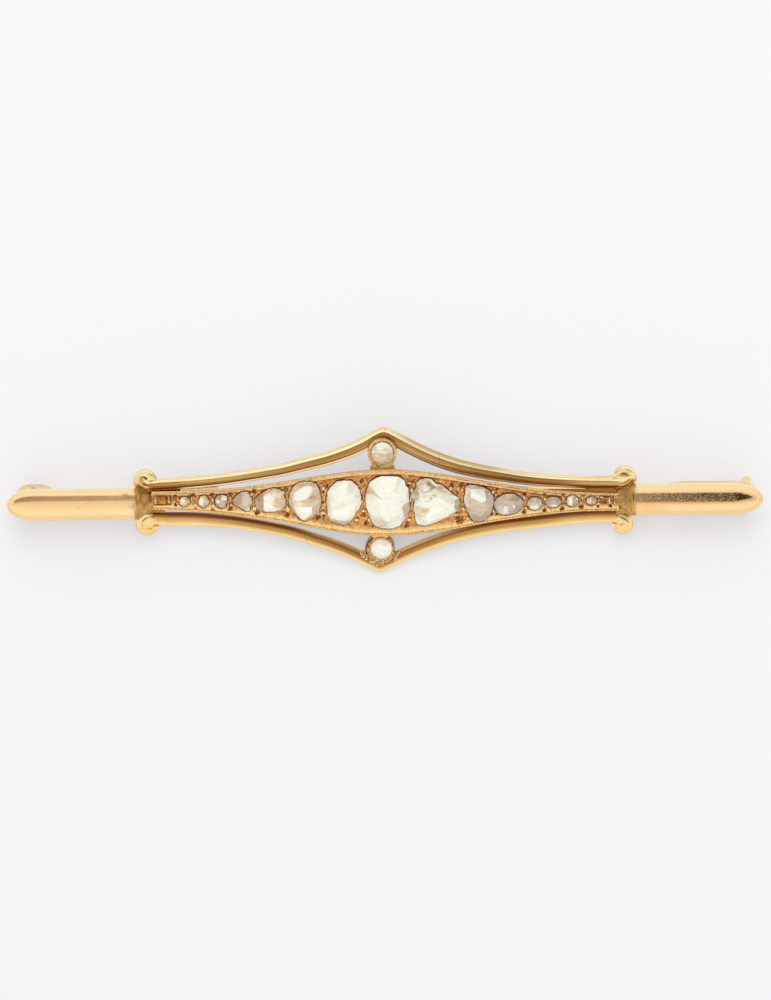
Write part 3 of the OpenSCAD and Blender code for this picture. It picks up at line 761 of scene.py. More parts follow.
# Pits cut between the stones, in hundredths: x, y, radius, darkness of their painted shade
PITS = hundredths(
    (-1645, 84, 26, 40), (-1685, 74, 20, 20), (-1485, 87, 26, 50), (-1325, 92, 24, 50),
    (-1325, -37, 24, 60), (-1630, -43, 20, 60), (-1480, -53, 20, 60), (-1120, 116, 25, 50),
    (-1100, -79, 28, 40), (-850, 121, 30, 50), (-840, -103, 26, 40), (-497, 154, 22, 60),
    (-529, 98, 15, 60), (-576, -125, 28, 60), (-529, -115, 18, 60), (-535, 5, 16, 70), (-198, 195, 27, 50),
    (-180, -108, 27, 40), (-160, -185, 25, 70), (-103, -212, 12, 60), (-200, 60, 12, 30),
    (248, 195, 25, 30), (200, 150, 16, 60), (189, -196, 27, 50), (230, -75, 16, 40), (584, 161, 30, 30),
    (663, 161, 26, 40), (619, 83, 16, 50), (642, -159, 42, 60), (962, 111, 20, 40), (928, -42, 14, 50),
    (914, -110, 18, 60), (962, -109, 18, 50), (1200, 68, 22, 40), (1195, -92, 24, 60), (1370, 61, 20, 40),
    (1370, -79, 22, 70), (1535, 63, 22, 30), (1525, -64, 22, 50), (1700, 67, 24, 40), (1685, -51, 26, 70),
    (1830, -45, 16, 50), (1935, -45, 18, 60), (-1800, 75, 20, 60), (-1798, 0, 16, 80),
)
# Empty engraved seats: x, y, length, width, darkness of the painted shade in the hole
BARE_SEATS = [
    (-19.33, 0.42, 1.08, 0.9, 0.15),
    (-18.54, 0.42, 0.38, 0.86, 0.25),
    (18.76, -0.06, 0.46, 0.34, 0.1),
    (18.95, 0.38, 1.1, 0.2, 0.0),
    (19.56, 0.1, 0.16, 0.8, 0.1),
]
PIT_DEPTH = 0.16
SEAT_DEPTH = 0.2
STONE_DEPTH = 0.3
# Darkness of the painted shade line round a stone of few facets and round one of many
DARK_RINGS = (0.7, 1.0)
MANY_FACETS = 4
# Farthest from a stone's middle, along x, that its seat marks the plate
SEAT_REACH = 2.9
GRAIN_STEP = 0.276
TICK_STEP = 0.17
# Hand-made unevenness of the plate's upper and lower edge: how far it is pushed out at places along x
PLATE_PUSH_UPPER = [
    (-20, 0), (-8, -0.02), (-5, -0.04), (0, 0), (1.5, 0.06), (3.5, 0.02), (7.6, 0.09), (9.7, 0.11),
    (11, 0.09), (13, 0.03), (20, 0),
]
PLATE_PUSH_LOWER = [
    (-20, 0), (-15, 0.05), (-12, 0.1), (-9, 0.09), (-5, 0.16), (-2.7, 0.19), (1.5, 0.18), (3.5, 0.14),
    (5.6, 0.17), (9, 0.08), (11, 0.06), (13, 0), (17, -0.1), (20, -0.05),
]


def cloud(shape, cells):
    """Smooth random field from 0 to 1 over a grid."""
    grid = field.random((cells[0] + 2, cells[1] + 2))
    u, v = np.linspace(0, cells[0], shape[0]), np.linspace(0, cells[1], shape[1])
    i, k = u.astype(int), v.astype(int)
    a, b = ease(u - i, 0, 1)[:, None], ease(v - k, 0, 1)[None, :]
    low = grid[np.ix_(i, k)] * (1 - b) + grid[np.ix_(i, k + 1)] * b
    high = grid[np.ix_(i + 1, k)] * (1 - b) + grid[np.ix_(i + 1, k + 1)] * b
    return low * (1 - a) + high * a


def toward(colour, goal, weight):
    """Colours of a grid drawn to a goal by the weight at each point."""
    return colour + (np.array(goal) - colour) * np.clip(weight, 0, 1)[..., None]


class Relief:
    """Heights of a grid, how much of its gold is rusty, and how much painted shade and painted highlight lie
    on it.
    """

    def __init__(self, height, rust, light):
        self.height, self.rust, self.painted_shade, self.light = height, rust, np.zeros(height.shape), light

    def cut(self, depth=0, rust=0, painted_shade=0, light=0):
        self.height = self.height - depth
        self.rust = np.maximum(self.rust, rust)
        self.painted_shade = np.maximum(self.painted_shade, painted_shade)
        self.light = np.maximum(self.light, light)


def plate_edges(x):
    """Lower edge, foot of the upper wall and upper edge of the plate at x."""
    half = PLATE_END_HALF + (PLATE_HALF - PLATE_END_HALF) * ridge(x, 0, PLATE_SPREAD)
    middle = PLATE_SHIFT + PLATE_SKEW * x
    upper = middle + half + np.interp(x, *zip(*PLATE_PUSH_UPPER))
    return middle - half - np.interp(x, *zip(*PLATE_PUSH_LOWER)), upper, upper + PLATE_LIP


def plate_shape():
    columns, rows = 960, 88
    xs = np.linspace(-PLATE_END_X, PLATE_END_X, columns)
    low, foot, high = plate_edges(xs)
    px = np.repeat(xs[:, None], rows, axis=1)
    py = low[:, None] + (high - low)[:, None] * np.linspace(0, 1, rows)[None, :]
    below, above = py - low[:, None], high[:, None] - py
    rough = cloud(px.shape, (190, 22))
    fine = cloud(px.shape, (420, 44))
    # Borders with a trough for the small beads, lines along the upper one, and a slope down to the stones
    lines = ridge(above, 0.21, 0.025) + 0.8 * ridge(above, 0.34, 0.025)
    ticks = (0.5 + 0.5 * np.cos(2 * math.pi * px / TICK_STEP)) * ridge(below, 0.34, 0.06)
    inner = ease(above, 0.34, 0.6) * ease(below, 0.35, 1.15)
    z = PLATE_TOP - 0.1 * (1 - ease(np.minimum(below, above), 0.0, 0.06))
    z -= 0.05 * ridge(below, 0.13, 0.1) + 0.03 * ridge(above, 0.09, 0.07)
    z -= 0.04 * lines + 0.01 * ticks + inner * (0.11 + 0.05 * rough + 0.025 * fine)
    rusty = 0.36 + 0.5 * below / (high - low)[:, None] + 0.9 * (rough - 0.5) + 0.5 * (fine - 0.5)
    # Painted highlight along the upper border and in bright flecks inside it
    plate_highlight = 0.3 * ridge(above, 0.27, 0.03) + 0.5 * inner * ease(fine, 0.62, 0.9)
    relief = Relief(z, 0.4 * lines + 0.12 * ticks + inner * rusty, plate_highlight)
    for name, (x, y, outline, _, _, facets) in STONES.items():
        if name in COLLET_STONES:
            continue
        near = np.abs(px - x) < SEAT_REACH
        gap = np.full(px.shape, 9.0)
        gap[near] = outline_distance(px[near] - x, py[near] - y, outline)
        # The painted shade line round a stone is dark above and below it and fades at its sides, and a
        # painted highlight runs just outside it
        upright = np.sin(np.arctan2(py - y, px - x)) ** 2
        groove = ridge(gap, 0.03, 0.045 + 0.035 * upright * (py < y))
        shade = (0.05 + 0.75 * upright ** 2) * (0.5 + 0.6 * rough) * DARK_RINGS[len(facets) > MANY_FACETS]
        relief.cut(0.04 * groove, groove, groove * shade, 0.5 * ridge(gap, 0.14, 0.04) * rough)
        under_stone = np.minimum(relief.height, PLATE_TOP - STONE_DEPTH)
        relief.height = np.where(gap < -0.03, under_stone, relief.height)
    inside = ease(below, 0.2, 0.34) * ease(above, 0.12, 0.3)
    for x, y, radius, shade in PITS:
        dx, dy = px - x, py - y
        away = np.hypot(dx, dy)
        # Three flat cuts that meet at the bottom, the upper left one in painted shade, with a painted glint
        # round the rim
        cuts = [5 * x + y + 2 * math.pi / 3 * k for k in range(3)]
        ratio = np.max([dx * math.cos(t) + dy * math.sin(t) for t in cuts], axis=0) / (0.72 * radius)
        ratio = 0.45 * ratio + 0.5 * away / (0.85 * radius) + 0.9 * (fine - 0.5)
        pit = np.clip(1.05 - ratio, 0, 1) * inside * (away < 2 * radius)
        lean = np.clip(0.4 + (dy - dx) / (1.2 * radius), 0, 1)
        gloom = shade * (0.05 + 0.65 * lean) * ease(pit, 0.05, 0.5)
        glint = 0.6 * ridge(ratio, 1.22, 0.14) * inside * rough * (away < 1.6 * radius)
        relief.cut(PIT_DEPTH * pit, 0.95 * ease(pit, 0.0, 0.2), gloom, glint)
    for x, y, length, width, shade in BARE_SEATS:
        dx, dy = px - x, py - y
        box = np.maximum(np.abs(dx) - length / 2, np.abs(dy) - width / 2)
        hole = 1 - ease(box, -0.08, 0.04)
        # Patina in the hole, darker to the upper left as painted shade, painted shade on its upper wall and
        # a painted glint on its left wall
        stain = hole * (0.95 - 0.6 * ease(dx - dy, -0.2, 0.8)) * (0.75 + 0.4 * fine)
        wall_shade = 0.75 * ridge(box, -0.03, 0.07) * ease(dy, -0.3, 0.35)
        glint = 0.9 * ridge(dx + length / 2 - 0.1 + 0.2 * dy, 0, 0.09) * (np.abs(dy) < width / 2)
        relief.cut(SEAT_DEPTH * hole, stain, np.maximum(shade * hole, wall_shade), glint)
    # Painted shade ring round each bead
    for x, y, length, width in BEADS:
        relief.cut(painted_shade=0.4 * ridge(np.hypot((px - x) / length, (py - y) / width), 1.15, 0.2))
    colour = toward(np.array(tint(236, 164, 86, 0.34)), ORANGE, 1 - ease(below, 0.5, 1.0))
    colour = toward(colour, BORDER, 1 - ease(above, 0.36, 0.55))
    colour = toward(colour, EMBER, relief.rust)
    # Painted shade, then painted highlight where there is no painted shade
    colour = toward(colour, DARK, relief.painted_shade)
    colour = toward(colour, PALE, relief.light * (1 - relief.painted_shade))
    verts = np.stack([px, py, relief.height], axis=2).reshape(-1, 3).tolist()
    tints = [tuple(c) for c in colour.reshape(-1, 4).tolist()]
    faces = [
        (i * rows + k, (i + 1) * rows + k, (i + 1) * rows + k + 1, i * rows + k + 1)
        for i in range(columns - 1)
        for k in range(rows - 1)
    ]
    # Side walls and back
    under = len(verts)
    for x, y_low, y_foot in zip(xs, low, foot):
        verts += [(x, y_low, -PLATE_UNDER), (x, y_foot, -PLATE_UNDER)]
        tints += [BRASS, BRASS]
    for i in range(columns - 1):
        a, b = under + 2 * i, under + 2 * i + 2
        c, d = i * rows, (i + 1) * rows
        faces += [(c, a, b, d), (c + rows - 1, d + rows - 1, b + 1, a + 1), (a, a + 1, b + 1, b)]
    last = (columns - 1) * rows
    faces.append((*range(rows), under + 1, under))
    faces.append((*reversed(range(last, last + rows)), under + 2 * columns - 2, under + 2 * columns - 1))
    return Shape().add(verts, faces, tints)


def milgrain_shape(side):
    """Row of tiny beads along one border of the plate."""
    shape = Shape()
    inset, radius = (0.09, 0.11) if side > 0 else (0.14, 0.13)
    x = -PLATE_END_X + 0.12
    while x < PLATE_END_X - 0.1:
        low, _, high = plate_edges(x)
        y = high - inset if side > 0 else low + inset
        size = radius + random.uniform(-0.012, 0.008)
        tone = blend(GOLD, STRAW, random.random())
        shape.ball((x, float(y), PLATE_TOP - 0.045), size, tone, 8, 5)
        x += GRAIN_STEP * random.uniform(0.97, 1.03)
    return shape


def bead_shape():
    shape = Shape()
    for x, y, length, width in BEADS:
        tone = blend(LIP, STRAW, random.random())
        shape.ball((x, y, PLATE_TOP - 0.08), (length, width, 0.13), tone, 14, 7)
    return shape


# How much the upper cup is longer towards the plate than round
CUP_STRETCH = 1.26
# How far the lower cup's stone sits off the cup's middle, which makes its bezel wide at the lower left
CUP_OFFSET = (0.1, 0.13)
# Distance from the middle line at which a neck leaves the plate, and how far its flare goes from there
NECK_FOOT, NECK_FLARE = 3.02, 0.42
# Beads on the upper cup, and grains of solder on the lower one's bezel, under it and in its crescent
CUP_BEADS = 40
BEZEL_GRAINS, FILL_GRAINS, CRESCENT_GRAINS = 210, 230, 26
# Section of the upper cup from outside in: radius, height, tint
CUP_SECTION = [
    (COLLET_RADIUS - 0.04, -1.15, MID), (COLLET_RADIUS, -1.0, MID), (COLLET_RADIUS, -0.2, TAN_GOLD),
    (1.23, -0.13, MID), (1.12, -0.12, TAWNY), (1.09, -0.07, GOLD), (1.04, -0.04, LIP), (1.0, -0.07, GOLD),
    (0.96, -0.1, TAWNY), (0.93, -0.16, BROWN), (0.9, -0.5, DARK), (0.9, -1.15, MID),
]
# Section of the lower cup from outside in: share of the offset, radius, height, tint
BEZEL_SECTION = [
    (0, COLLET_RADIUS, -1.15, MID), (0, COLLET_RADIUS, -0.25, MID), (0, COLLET_RADIUS - 0.08, -0.08, TAWNY),
    (0.7, 1.02, 0.0, BRASS), (1, 0.93, 0.02, STRAW), (1, 0.87, -0.06, RUST), (1, 0.86, -0.5, DARK),
    (1, 0.86, -1.15, MID),
]


def upper_cup(shape, x, y):
    """Round cup with a ring of beads."""
    shape.turn((x, y), [row[:2] for row in CUP_SECTION], [row[2] for row in CUP_SECTION])
    for a in turns(CUP_BEADS):
        tone = blend(STRAW, LIP, random.random())
        shape.ball(polar(x, y, COLLET_RADIUS - 0.1, a, -0.09), (0.095, 0.095, 0.09), tone, 8, 5)
    shape.verts = [(vx, y + (vy - y) * (CUP_STRETCH if vy < y else 1), vz) for vx, vy, vz in shape.verts]


def lower_cup(shape, x, y):
    """Cup with a worn bezel and grains of solder."""
    off_x, off_y = CUP_OFFSET
    rings = [
        [polar(x + off_x * t, y + off_y * t, r, a, z) for t, r, z, _ in BEZEL_SECTION]
        for a in turns(72)
    ]
    shape.loft(rings, [row[3] for row in BEZEL_SECTION], wrap=True)
    for k in range(BEZEL_GRAINS):
        a = random.uniform(0, 2 * math.pi)
        t = random.uniform(0.15, 0.95)
        r = (COLLET_RADIUS - 0.06) * (1 - t) + 0.98 * t
        size = random.uniform(0.045, 0.085)
        tone = blend(STRAW, (LIP, TAWNY, RUST)[k % 3], random.random())
        shape.ball(polar(x + off_x * t, y + off_y * t, r, a, -0.06 + 0.06 * t), size, tone, 7, 4)
    # Solder that fills the point of the rail under the cup
    for k in range(FILL_GRAINS):
        a = math.radians(random.uniform(188, 352))
        r = COLLET_RADIUS + random.uniform(-0.05, 0.25 + 0.3 * abs(math.cos(a)))
        size = random.uniform(0.06, 0.12)
        tone = blend(BRASS, (STRAW, LIP, TAWNY)[k % 3], random.random())
        shape.ball(polar(x, y, r, a, -0.55), size, tone, 7, 4)
    # Dark crescent of solder at the upper left
    for k in range(CRESCENT_GRAINS):
        a = math.radians(118 + 3.2 * k)
        size = 0.04 + 0.04 * math.sin(math.pi * k / (CRESCENT_GRAINS - 1))
        tone = blend(BROWN, OLIVE, random.random())
        shape.ball(polar(x, y, COLLET_RADIUS - 0.02, a, -0.12), (size, size, 0.06), tone, 8, 4)


def collet_shape(name):
    """Cup for a small stone with a flared neck down to the plate."""
    x, y = STONES[name][:2]
    side = 1 if y > 0 else -1
    shape = Shape()
    (upper_cup if side > 0 else lower_cup)(shape, x, y)
    far, near = abs(y) - 0.75, 2.3
    rings = []
    for i in range(21):
        t = i / 20
        reach = near + (far - near) * t
        flare = min(1.0, max(0.0, 1 - (reach - NECK_FOOT) / NECK_FLARE))
        half = 0.6 + 0.46 * flare ** 2 + 0.8 * max(0, t - 0.75)
        edge = [(half, -0.8), (half, -0.14), (half - 0.06, -0.08)]
        ring = [(x - across, side * reach, z) for across, z in edge]
        rings.append(ring + [(x + across, side * reach, z) for across, z in edge[::-1]])
    return shape.loft(rings, [BRASS, BRASS, TAN_GOLD, TAN_GOLD, BRASS, BRASS])


# Scrolls: side along x, side along y, x, y, radius, and strokes on the dome. A stroke is a shallow groove
# with a tint, dark ones painting the curl's shade and straw ones its highlights, and its points from the
# scroll's centre: x towards the brooch's middle, y outward and half width, in hundredths.
SCROLLS = [
    (-1, 1, 20.6, 1.75, SCROLL_RADIUS, [
        (MID, 125, -27, 5, 50, -27, 6, 11, -23, 9, -20, -5, 17, -34, 20, 24, -34, 42, 16, -14, 50, 10, 10,
            38, 9),
        (OLIVE, 125, -27, 4, 50, -27, 5, 11, -25, 5, -15, -14, 5),
        (OLIVE, -30, 34, 5, -25, 50, 5, -5, 47, 6, 12, 36, 7),
        (DARK, 0, 44, 4, 13, 36, 6)]),
    (1, 1, 20.62, 1.7, SCROLL_RADIUS, [
        (STRAW, 80, 20, 8, 55, 42, 10, 20, 62, 10, -20, 60, 10, -35, 40, 10),
        (OLIVE, 130, -44, 5, 76, -48, 5, 30, -44, 6, -10, -32, 6, -39, -10, 4),
        (MID, 45, 30, 6, 10, 34, 10, -25, 36, 6),
        (DARK, 34, 42, 4, 10, 50, 8, -16, 45, 4)]),
    (-1, -1, 20.5, 2.1, SCROLL_RADIUS, [
        (STRAW, 116, -85, 9, 53, -80, 10, -5, -62, 10, -36, -35, 10, -42, 5, 8, -36, 30, 5),
        (OLIVE, 116, -88, 4, 53, -84, 4, -5, -66, 4, -36, -40, 5),
        (MID, -5, 39, 4, 21, 30, 6, 43, 39, 5)]),
    (1, -1, 20.45, 2.5, 0.92, [
        (RUST, 112, -85, 4, 26, -76, 6, -24, -55, 7, -45, -30, 5),
        (MID, 28, -2, 4, 10, -10, 6, -5, -14, 4),
        (STRAW, 40, -40, 8, 60, 0, 6, 50, 40, 5)]),
]
# Where, from a scroll's middle towards the rail, the rail's section takes over: side, start and end
RUN_ON = {1: (0.1, 0.75), -1: (0.3, 0.85)}


def smooth_path(points, steps=8):
    """Catmull-Rom points through a short path."""
    rows = np.array([points[0], *points, points[-1]], dtype=float)
    made = []
    for a, b, c, d in zip(rows, rows[1:], rows[2:], rows[3:]):
        for t in np.arange(steps) / steps:
            bend = (2 * a - 5 * b + 4 * c - d) * t ** 2 + (3 * b - a - 3 * c + d) * t ** 3
            made.append(0.5 * (2 * b + (c - a) * t + bend))
    return np.array(made + [rows[-1]])


def scroll_shape(place):
    side_x, side_y, cx, cy, size, strokes = place
    around, levels = 96, 34
    radius = size * (np.arange(levels + 1) / levels)[:, None] ** 0.85
    angle = np.array(turns(around))[None, :]
    x, y = radius * np.cos(angle), radius * np.sin(angle)
    share = radius / size
    # The dome is rounded at its edge, but runs on level towards the rail
    level = ridge(angle - 2 * math.pi * (angle > math.pi), 0, 0.9)
    rounding = (0.22 - 0.17 * ease(-y, 0, 0.6)) * ease(share, 0.8, 1.0) ** 2
    z = -0.46 - 0.12 * share ** 2 - rounding * (1 - level)
    # Painted highlight, stronger towards the brooch's upper side
    colour = toward(np.array(GOLD if side_y > 0 else APRICOT), PALE, 0.2 + 0.5 * side_y * y)
    for tone, *flat in strokes:
        path = smooth_path(list(zip(flat[::3], flat[1::3], flat[2::3]))) / 100
        gap = np.hypot(x[..., None] - path[:, 0], y[..., None] - path[:, 1]) / path[:, 2]
        line = np.exp(-(gap.min(axis=2) ** 2))
        # Each stroke cuts a shallow groove and paints its tint, dark for shade and straw for highlight
        z = z - (0.08 if tone is DARK else 0.03) * line
        colour = toward(colour, tone, 0.85 * line)
    # Towards the rail the dome takes on the rail's own section
    name = "rail_upper" if side_y > 0 else "rail_lower"
    end = side_x * RAIL_END_X
    along = side_x * np.minimum(cx - x, RAIL_END_X)
    reach = np.vectorize(lambda value: rail_reach(name, value))(along)
    across = (reach - RAIL_INSET - cy - y) / rail_width(name, end)
    last = [row[0] for row in RAIL_SECTIONS[name]].index(1.0) + 1
    shares, heights = zip(*(row[:2] for row in RAIL_SECTIONS[name][:last]))
    tones = np.array(rail_tones(name, end)[:last])
    banded = np.stack([np.interp(across, shares, tones[:, k]) for k in range(4)], axis=2)
    run = ease(x, *RUN_ON[side_y]) * ease(across, -0.03, 0.03) * (1 - ease(across, 0.97, 1.06))
    z = z + (np.interp(across, shares, heights) + 0.02 - z) * run
    colour = toward(colour, banded, run)
    verts = np.stack([side_x * (cx - x), side_y * (cy + y), z], axis=2).reshape(-1, 3).tolist()
    tints = [tuple(c) for c in colour.reshape(-1, 4).tolist()]
    base = len(verts)
    foot = size - 0.03
    for a in turns(around):
        verts.append((side_x * (cx - foot * math.cos(a)), side_y * (cy + foot * math.sin(a)), -SCROLL_UNDER))
        tints.append(GOLD)
    faces = [face for i in range(levels + 1) for face in band(i * around, (i + 1) * around, around)]
    faces.append(tuple(range(base, base + around)))
    return Shape().add(verts, faces, tints)


# Collar sections from the plate to the bar: x, half width, top, underside
COLLAR_SECTIONS = [
    (19.9, 0.7, 0.32, 0.98), (20.1, 0.84, 0.46, 1.04), (20.5, 0.98, 0.7, 1.12), (20.8, 1.1, 0.98, 1.2),
    (21.05, 1.28, 1.24, 1.3), (21.2, 1.385, 1.385, 1.385), (21.42, 1.385, 1.385, 1.385),
]
COLLAR_JAG = 0.08
# The bars show from here on, past the rims of the collars
BAR_SHOWN = 21.3


def collar_shape(side):
    around = 72
    sections = smooth_path(COLLAR_SECTIONS)
    blotch, speck = cloud((len(sections), around), (5, 13)), cloud((len(sections), around), (16, 40))
    rings, tints = [], []
    for (x, half, top, under), blotches, specks in zip(sections, blotch, speck):
        middle, tall = (top - under) / 2, (top + under) / 2
        ring = []
        for a, blot, spot in zip(turns(around), blotches, specks):
            rough = 1 + 0.05 * (spot - 0.5) * (x < 21)
            jag = COLLAR_JAG * (math.sin(3 * a + 1) + 0.6 * math.sin(8 * a)) * ease(x, 21.2, 21.4)
            ring.append((side * (x + jag), half * rough * math.cos(a), middle + tall * rough * math.sin(a)))
            tone = blend(BRASS, STRAW, 0.6 * ease(blot, 0.5, 0.9))
            tone = blend(tone, OLIVE, 0.7 * ease(blot, 0.45, 0.15))
            tints.append(blend(tone, TAWNY, 0.8 * ease(spot, 0.6, 0.9)))
        rings.append(ring)
    return Shape().loft(rings, tints, turns(around))


# Floors of the narrow ends: side along x and y, start and end, nearest and farthest y, top at each, tint
END_FLOORS = [
    (-1, 1, 17.6, 20.9, -0.2, 1.75, -0.8, -0.8, RUST),
    (-1, 1, 14.3, 17.6, 0.75, 1.3, -0.45, -0.77, LIP),
    (-1, -1, 18.95, 20.9, -0.2, 1.75, -0.85, -0.85, TAWNY),
    (1, 1, 17.2, 20.9, 0.2, 1.75, -0.6, -0.95, COPPER),
    (1, -1, 17.4, 21.3, -0.2, 1.75, -0.78, -0.78, MID),
]
FLOOR_UNDER = -1.2
BOX_FACES = [(0, 1, 3, 2), (4, 6, 7, 5), (0, 4, 5, 1), (2, 3, 7, 6), (0, 2, 6, 4), (1, 5, 7, 3)]


def floor_shape():
    shape = Shape()
    for side_x, side_y, start, end, near, far, top_near, top_far, tone in END_FLOORS:
        rows = ((near, FLOOR_UNDER), (far, FLOOR_UNDER), (near, top_near), (far, top_far))
        corners = [(side_x * x, side_y * y, z) for y, z in rows for x in (start, end)]
        shape.add(corners, BOX_FACES, tone)
    return shape


# Worn spots and specks on the bars, with a painted glint and painted shade: x, y, half length, half width,
# tint and weight
BAR_WEAR_AND_PAINTED_LIGHT = {
    -1: [
        (-21.9, 0.95, 0.45, 0.09, RUST, 0.6),
        (-22.3, 1.12, 0.3, 0.06, BROWN, 0.6),
        (-26.3, 0.2, 0.25, 0.1, TAWNY, 0.2),
        # Painted shade on the left bar beside its collar
        (-21.6, 0.2, 0.35, 0.25, tint(210, 176, 150, 0.3), 0.7),
        # Painted shade round the bar where it meets its collar
        (-21.4, 0.0, 0.2, 3.0, BRASS, 0.5),
    ],
    1: [
        # Painted glint on the right bar's nose
        (31.99, 0.3, 0.1, 0.09, tint(255, 255, 255, 0.1), 1.0),
        (31.3, 0.3, 0.8, 0.1, MID, 0.5),
        # Painted orange shade along the edge of the reflected dark band
        (26.5, 0.16, 5.5, 0.18, tint(234, 172, 106, 0.16), 0.85),
        (22.6, -0.25, 1.3, 0.35, tint(240, 176, 120, 0.2), 0.6),
        # Painted shade round the bar where it meets its collar
        (21.4, 0.0, 0.2, 3.0, BRASS, 0.5),
    ],
}


def bar_shape(side, nose):
    straight = LENGTH / 2 - nose
    profile = [(side * BAR_SHOWN, 0.0)]
    profile += [(side * (BAR_SHOWN + (straight - BAR_SHOWN) * i / 60), BAR_RADIUS) for i in range(60)]
    for k in range(33):
        a = math.pi / 2 * k / 32
        profile.append((side * (straight + nose * math.sin(a)), BAR_RADIUS * math.cos(a)))
    # The bar's far edge gets a paler painted highlight
    shape = Shape().lathe(profile, PEACH, around=128, far_highlight=tint(255, 240, 196, 0.13))
    for i, (x, y, z) in enumerate(shape.verts):
        for spot_x, spot_y, length, width, tone, weight in BAR_WEAR_AND_PAINTED_LIGHT[side] if z >= 0 else ():
            share = weight * math.exp(-((x - spot_x) / length) ** 2 - ((y - spot_y) / width) ** 2)
            shape.tints[i] = blend(shape.tints[i], tone, share)
    return shape


HINGE_X = -30.35
TUBE_START, TUBE_END = 24.8, 30.3
KNOB_START, KNOB_END = 30.84, 31.52
SLIDER_START, SLIDER_MOUTH = 28.2, 24.3
SLIDER_RADIUS, SLIDER_BORE = 0.58, 0.44
RIVET_RADIUS, EYE_BORE, EYE_RADIUS, EYE_HALF = 0.26, 0.31, 0.62, 0.25
PIN_SHOULDER, PIN_POINT = 21.0, 26.6


def upright_ring(radius, y, angle):
    """Point of a ring round the rivet's axis."""
    return (HINGE_X + radius * math.cos(angle), y, -PIN_DROP + radius * math.sin(angle))


def hinge_shape():
    shape = Shape()
    half = HINGE_WIDTH / 2
    ear = half - 0.3
    outline = [
        (-1.3, -1.0), (-1.4, -1.6), (-1.1, 0.45 - EAR_DROP), (-0.8, 0.1 - EAR_DROP), (-0.55, -EAR_DROP),
        (0.8, -EAR_DROP), (1.1, 0.1 - EAR_DROP), (1.45, 0.45 - EAR_DROP), (2.2, -1.1),
    ]
    # Across an ear: distance from its outer face and how far its edge is rounded off there
    layers = ((0, 0.04), (0.04, 0), (ear - 0.04, 0), (ear, 0.04), (ear, 0.26))
    # Painted shade near the foot of each ear, on its side towards +y
    foot_shade = [PEACH] * 4 + [RUST] * 2 + [PEACH] * 3
    for start in (-half, half - ear):
        rings = []
        for y, inset in layers:
            shrink = 1 - inset / 1.3
            rings.append([(HINGE_X + x * shrink, start + y, z + inset * (z < -1.2)) for x, z in outline])
        shape.loft(rings, [PEACH] * 18 + foot_shade + foot_shade + [PEACH] * 9)
    slim = RIVET_RADIUS - 0.06
    ends = ((-half, slim), (0.03 - half, RIVET_RADIUS), (half - 0.03, RIVET_RADIUS), (half, slim))
    return shape.loft([[upright_ring(r, y, a) for a in turns(32)] for y, r in ends], PEACH)


def tube_shape():
    profile = [
        (TUBE_START, TUBE_BORE), (TUBE_START, TUBE_RADIUS - 0.1), (TUBE_START + 0.5, TUBE_RADIUS - 0.03),
        (TUBE_START + 1.1, TUBE_RADIUS), (TUBE_END - 0.04, TUBE_RADIUS), (TUBE_END, TUBE_RADIUS - 0.04),
        (TUBE_END, TUBE_BORE), (TUBE_START, TUBE_BORE),
    ]
    shape = Shape().lathe(profile, PEACH, axis_z=-PIN_DROP)
    # Foot that carries the tube on the bar
    top, half = 0.66 - PIN_DROP, 0.32
    rings = [[(x, -half, top), (x, half, top), (x, half, -1.2), (x, -half, -1.2)]
             for x in (TUBE_START + 0.3, TUBE_END - 0.3)]
    return shape.loft(rings, GOLD)


def pin_shape():
    """Pin with its eye on the hinge rivet and its point in the clasp."""
    corner = 0.05
    eye = [
        (EYE_BORE, -EYE_HALF), (EYE_RADIUS - 0.04, -EYE_HALF), (EYE_RADIUS, corner - EYE_HALF),
        (EYE_RADIUS, EYE_HALF - corner), (EYE_RADIUS - 0.04, EYE_HALF), (EYE_BORE, EYE_HALF),
    ]
    shape = Shape().loft([[upright_ring(r, y, a) for r, y in eye] for a in turns(36)], PEACH, wrap=True)
    start = HINGE_X + 0.36
    profile = [(start, 0.0), (start, 0.24), (HINGE_X + 2.35, PIN_RADIUS), (PIN_SHOULDER, PIN_RADIUS)]
    for i in range(1, 12):
        t = i / 12
        radius = PIN_RADIUS * (1 - t) ** 0.85 + 0.06 * t
        profile.append((PIN_SHOULDER + (PIN_POINT - PIN_SHOULDER) * t, radius))
    profile += [(PIN_POINT - 0.02, 0.06), (PIN_POINT, 0.0)]
    return shape.lathe(profile, PEACH, axis_z=-PIN_DROP, around=32)


def slider_shape():
    profile = [
        (SLIDER_START, 0.0), (SLIDER_START, SLIDER_BORE), (SLIDER_MOUTH, SLIDER_BORE),
        (SLIDER_MOUTH, SLIDER_RADIUS - 0.03), (SLIDER_MOUTH + 0.03, SLIDER_RADIUS),
        (TUBE_END + 0.08, SLIDER_RADIUS), (TUBE_END + 0.1, 0.7), (KNOB_START, 0.7), (KNOB_START, 1.0),
        (KNOB_START + 0.03, 1.06), (KNOB_START + 0.1, KNOB_RADIUS), (KNOB_END - 0.15, KNOB_RADIUS),
        (KNOB_END - 0.05, 1.04), (KNOB_END, 0.94), (KNOB_END, 0.0),
    ]
    return Shape().lathe(profile, PEACH, axis_z=-PIN_DROP)


# The brooch

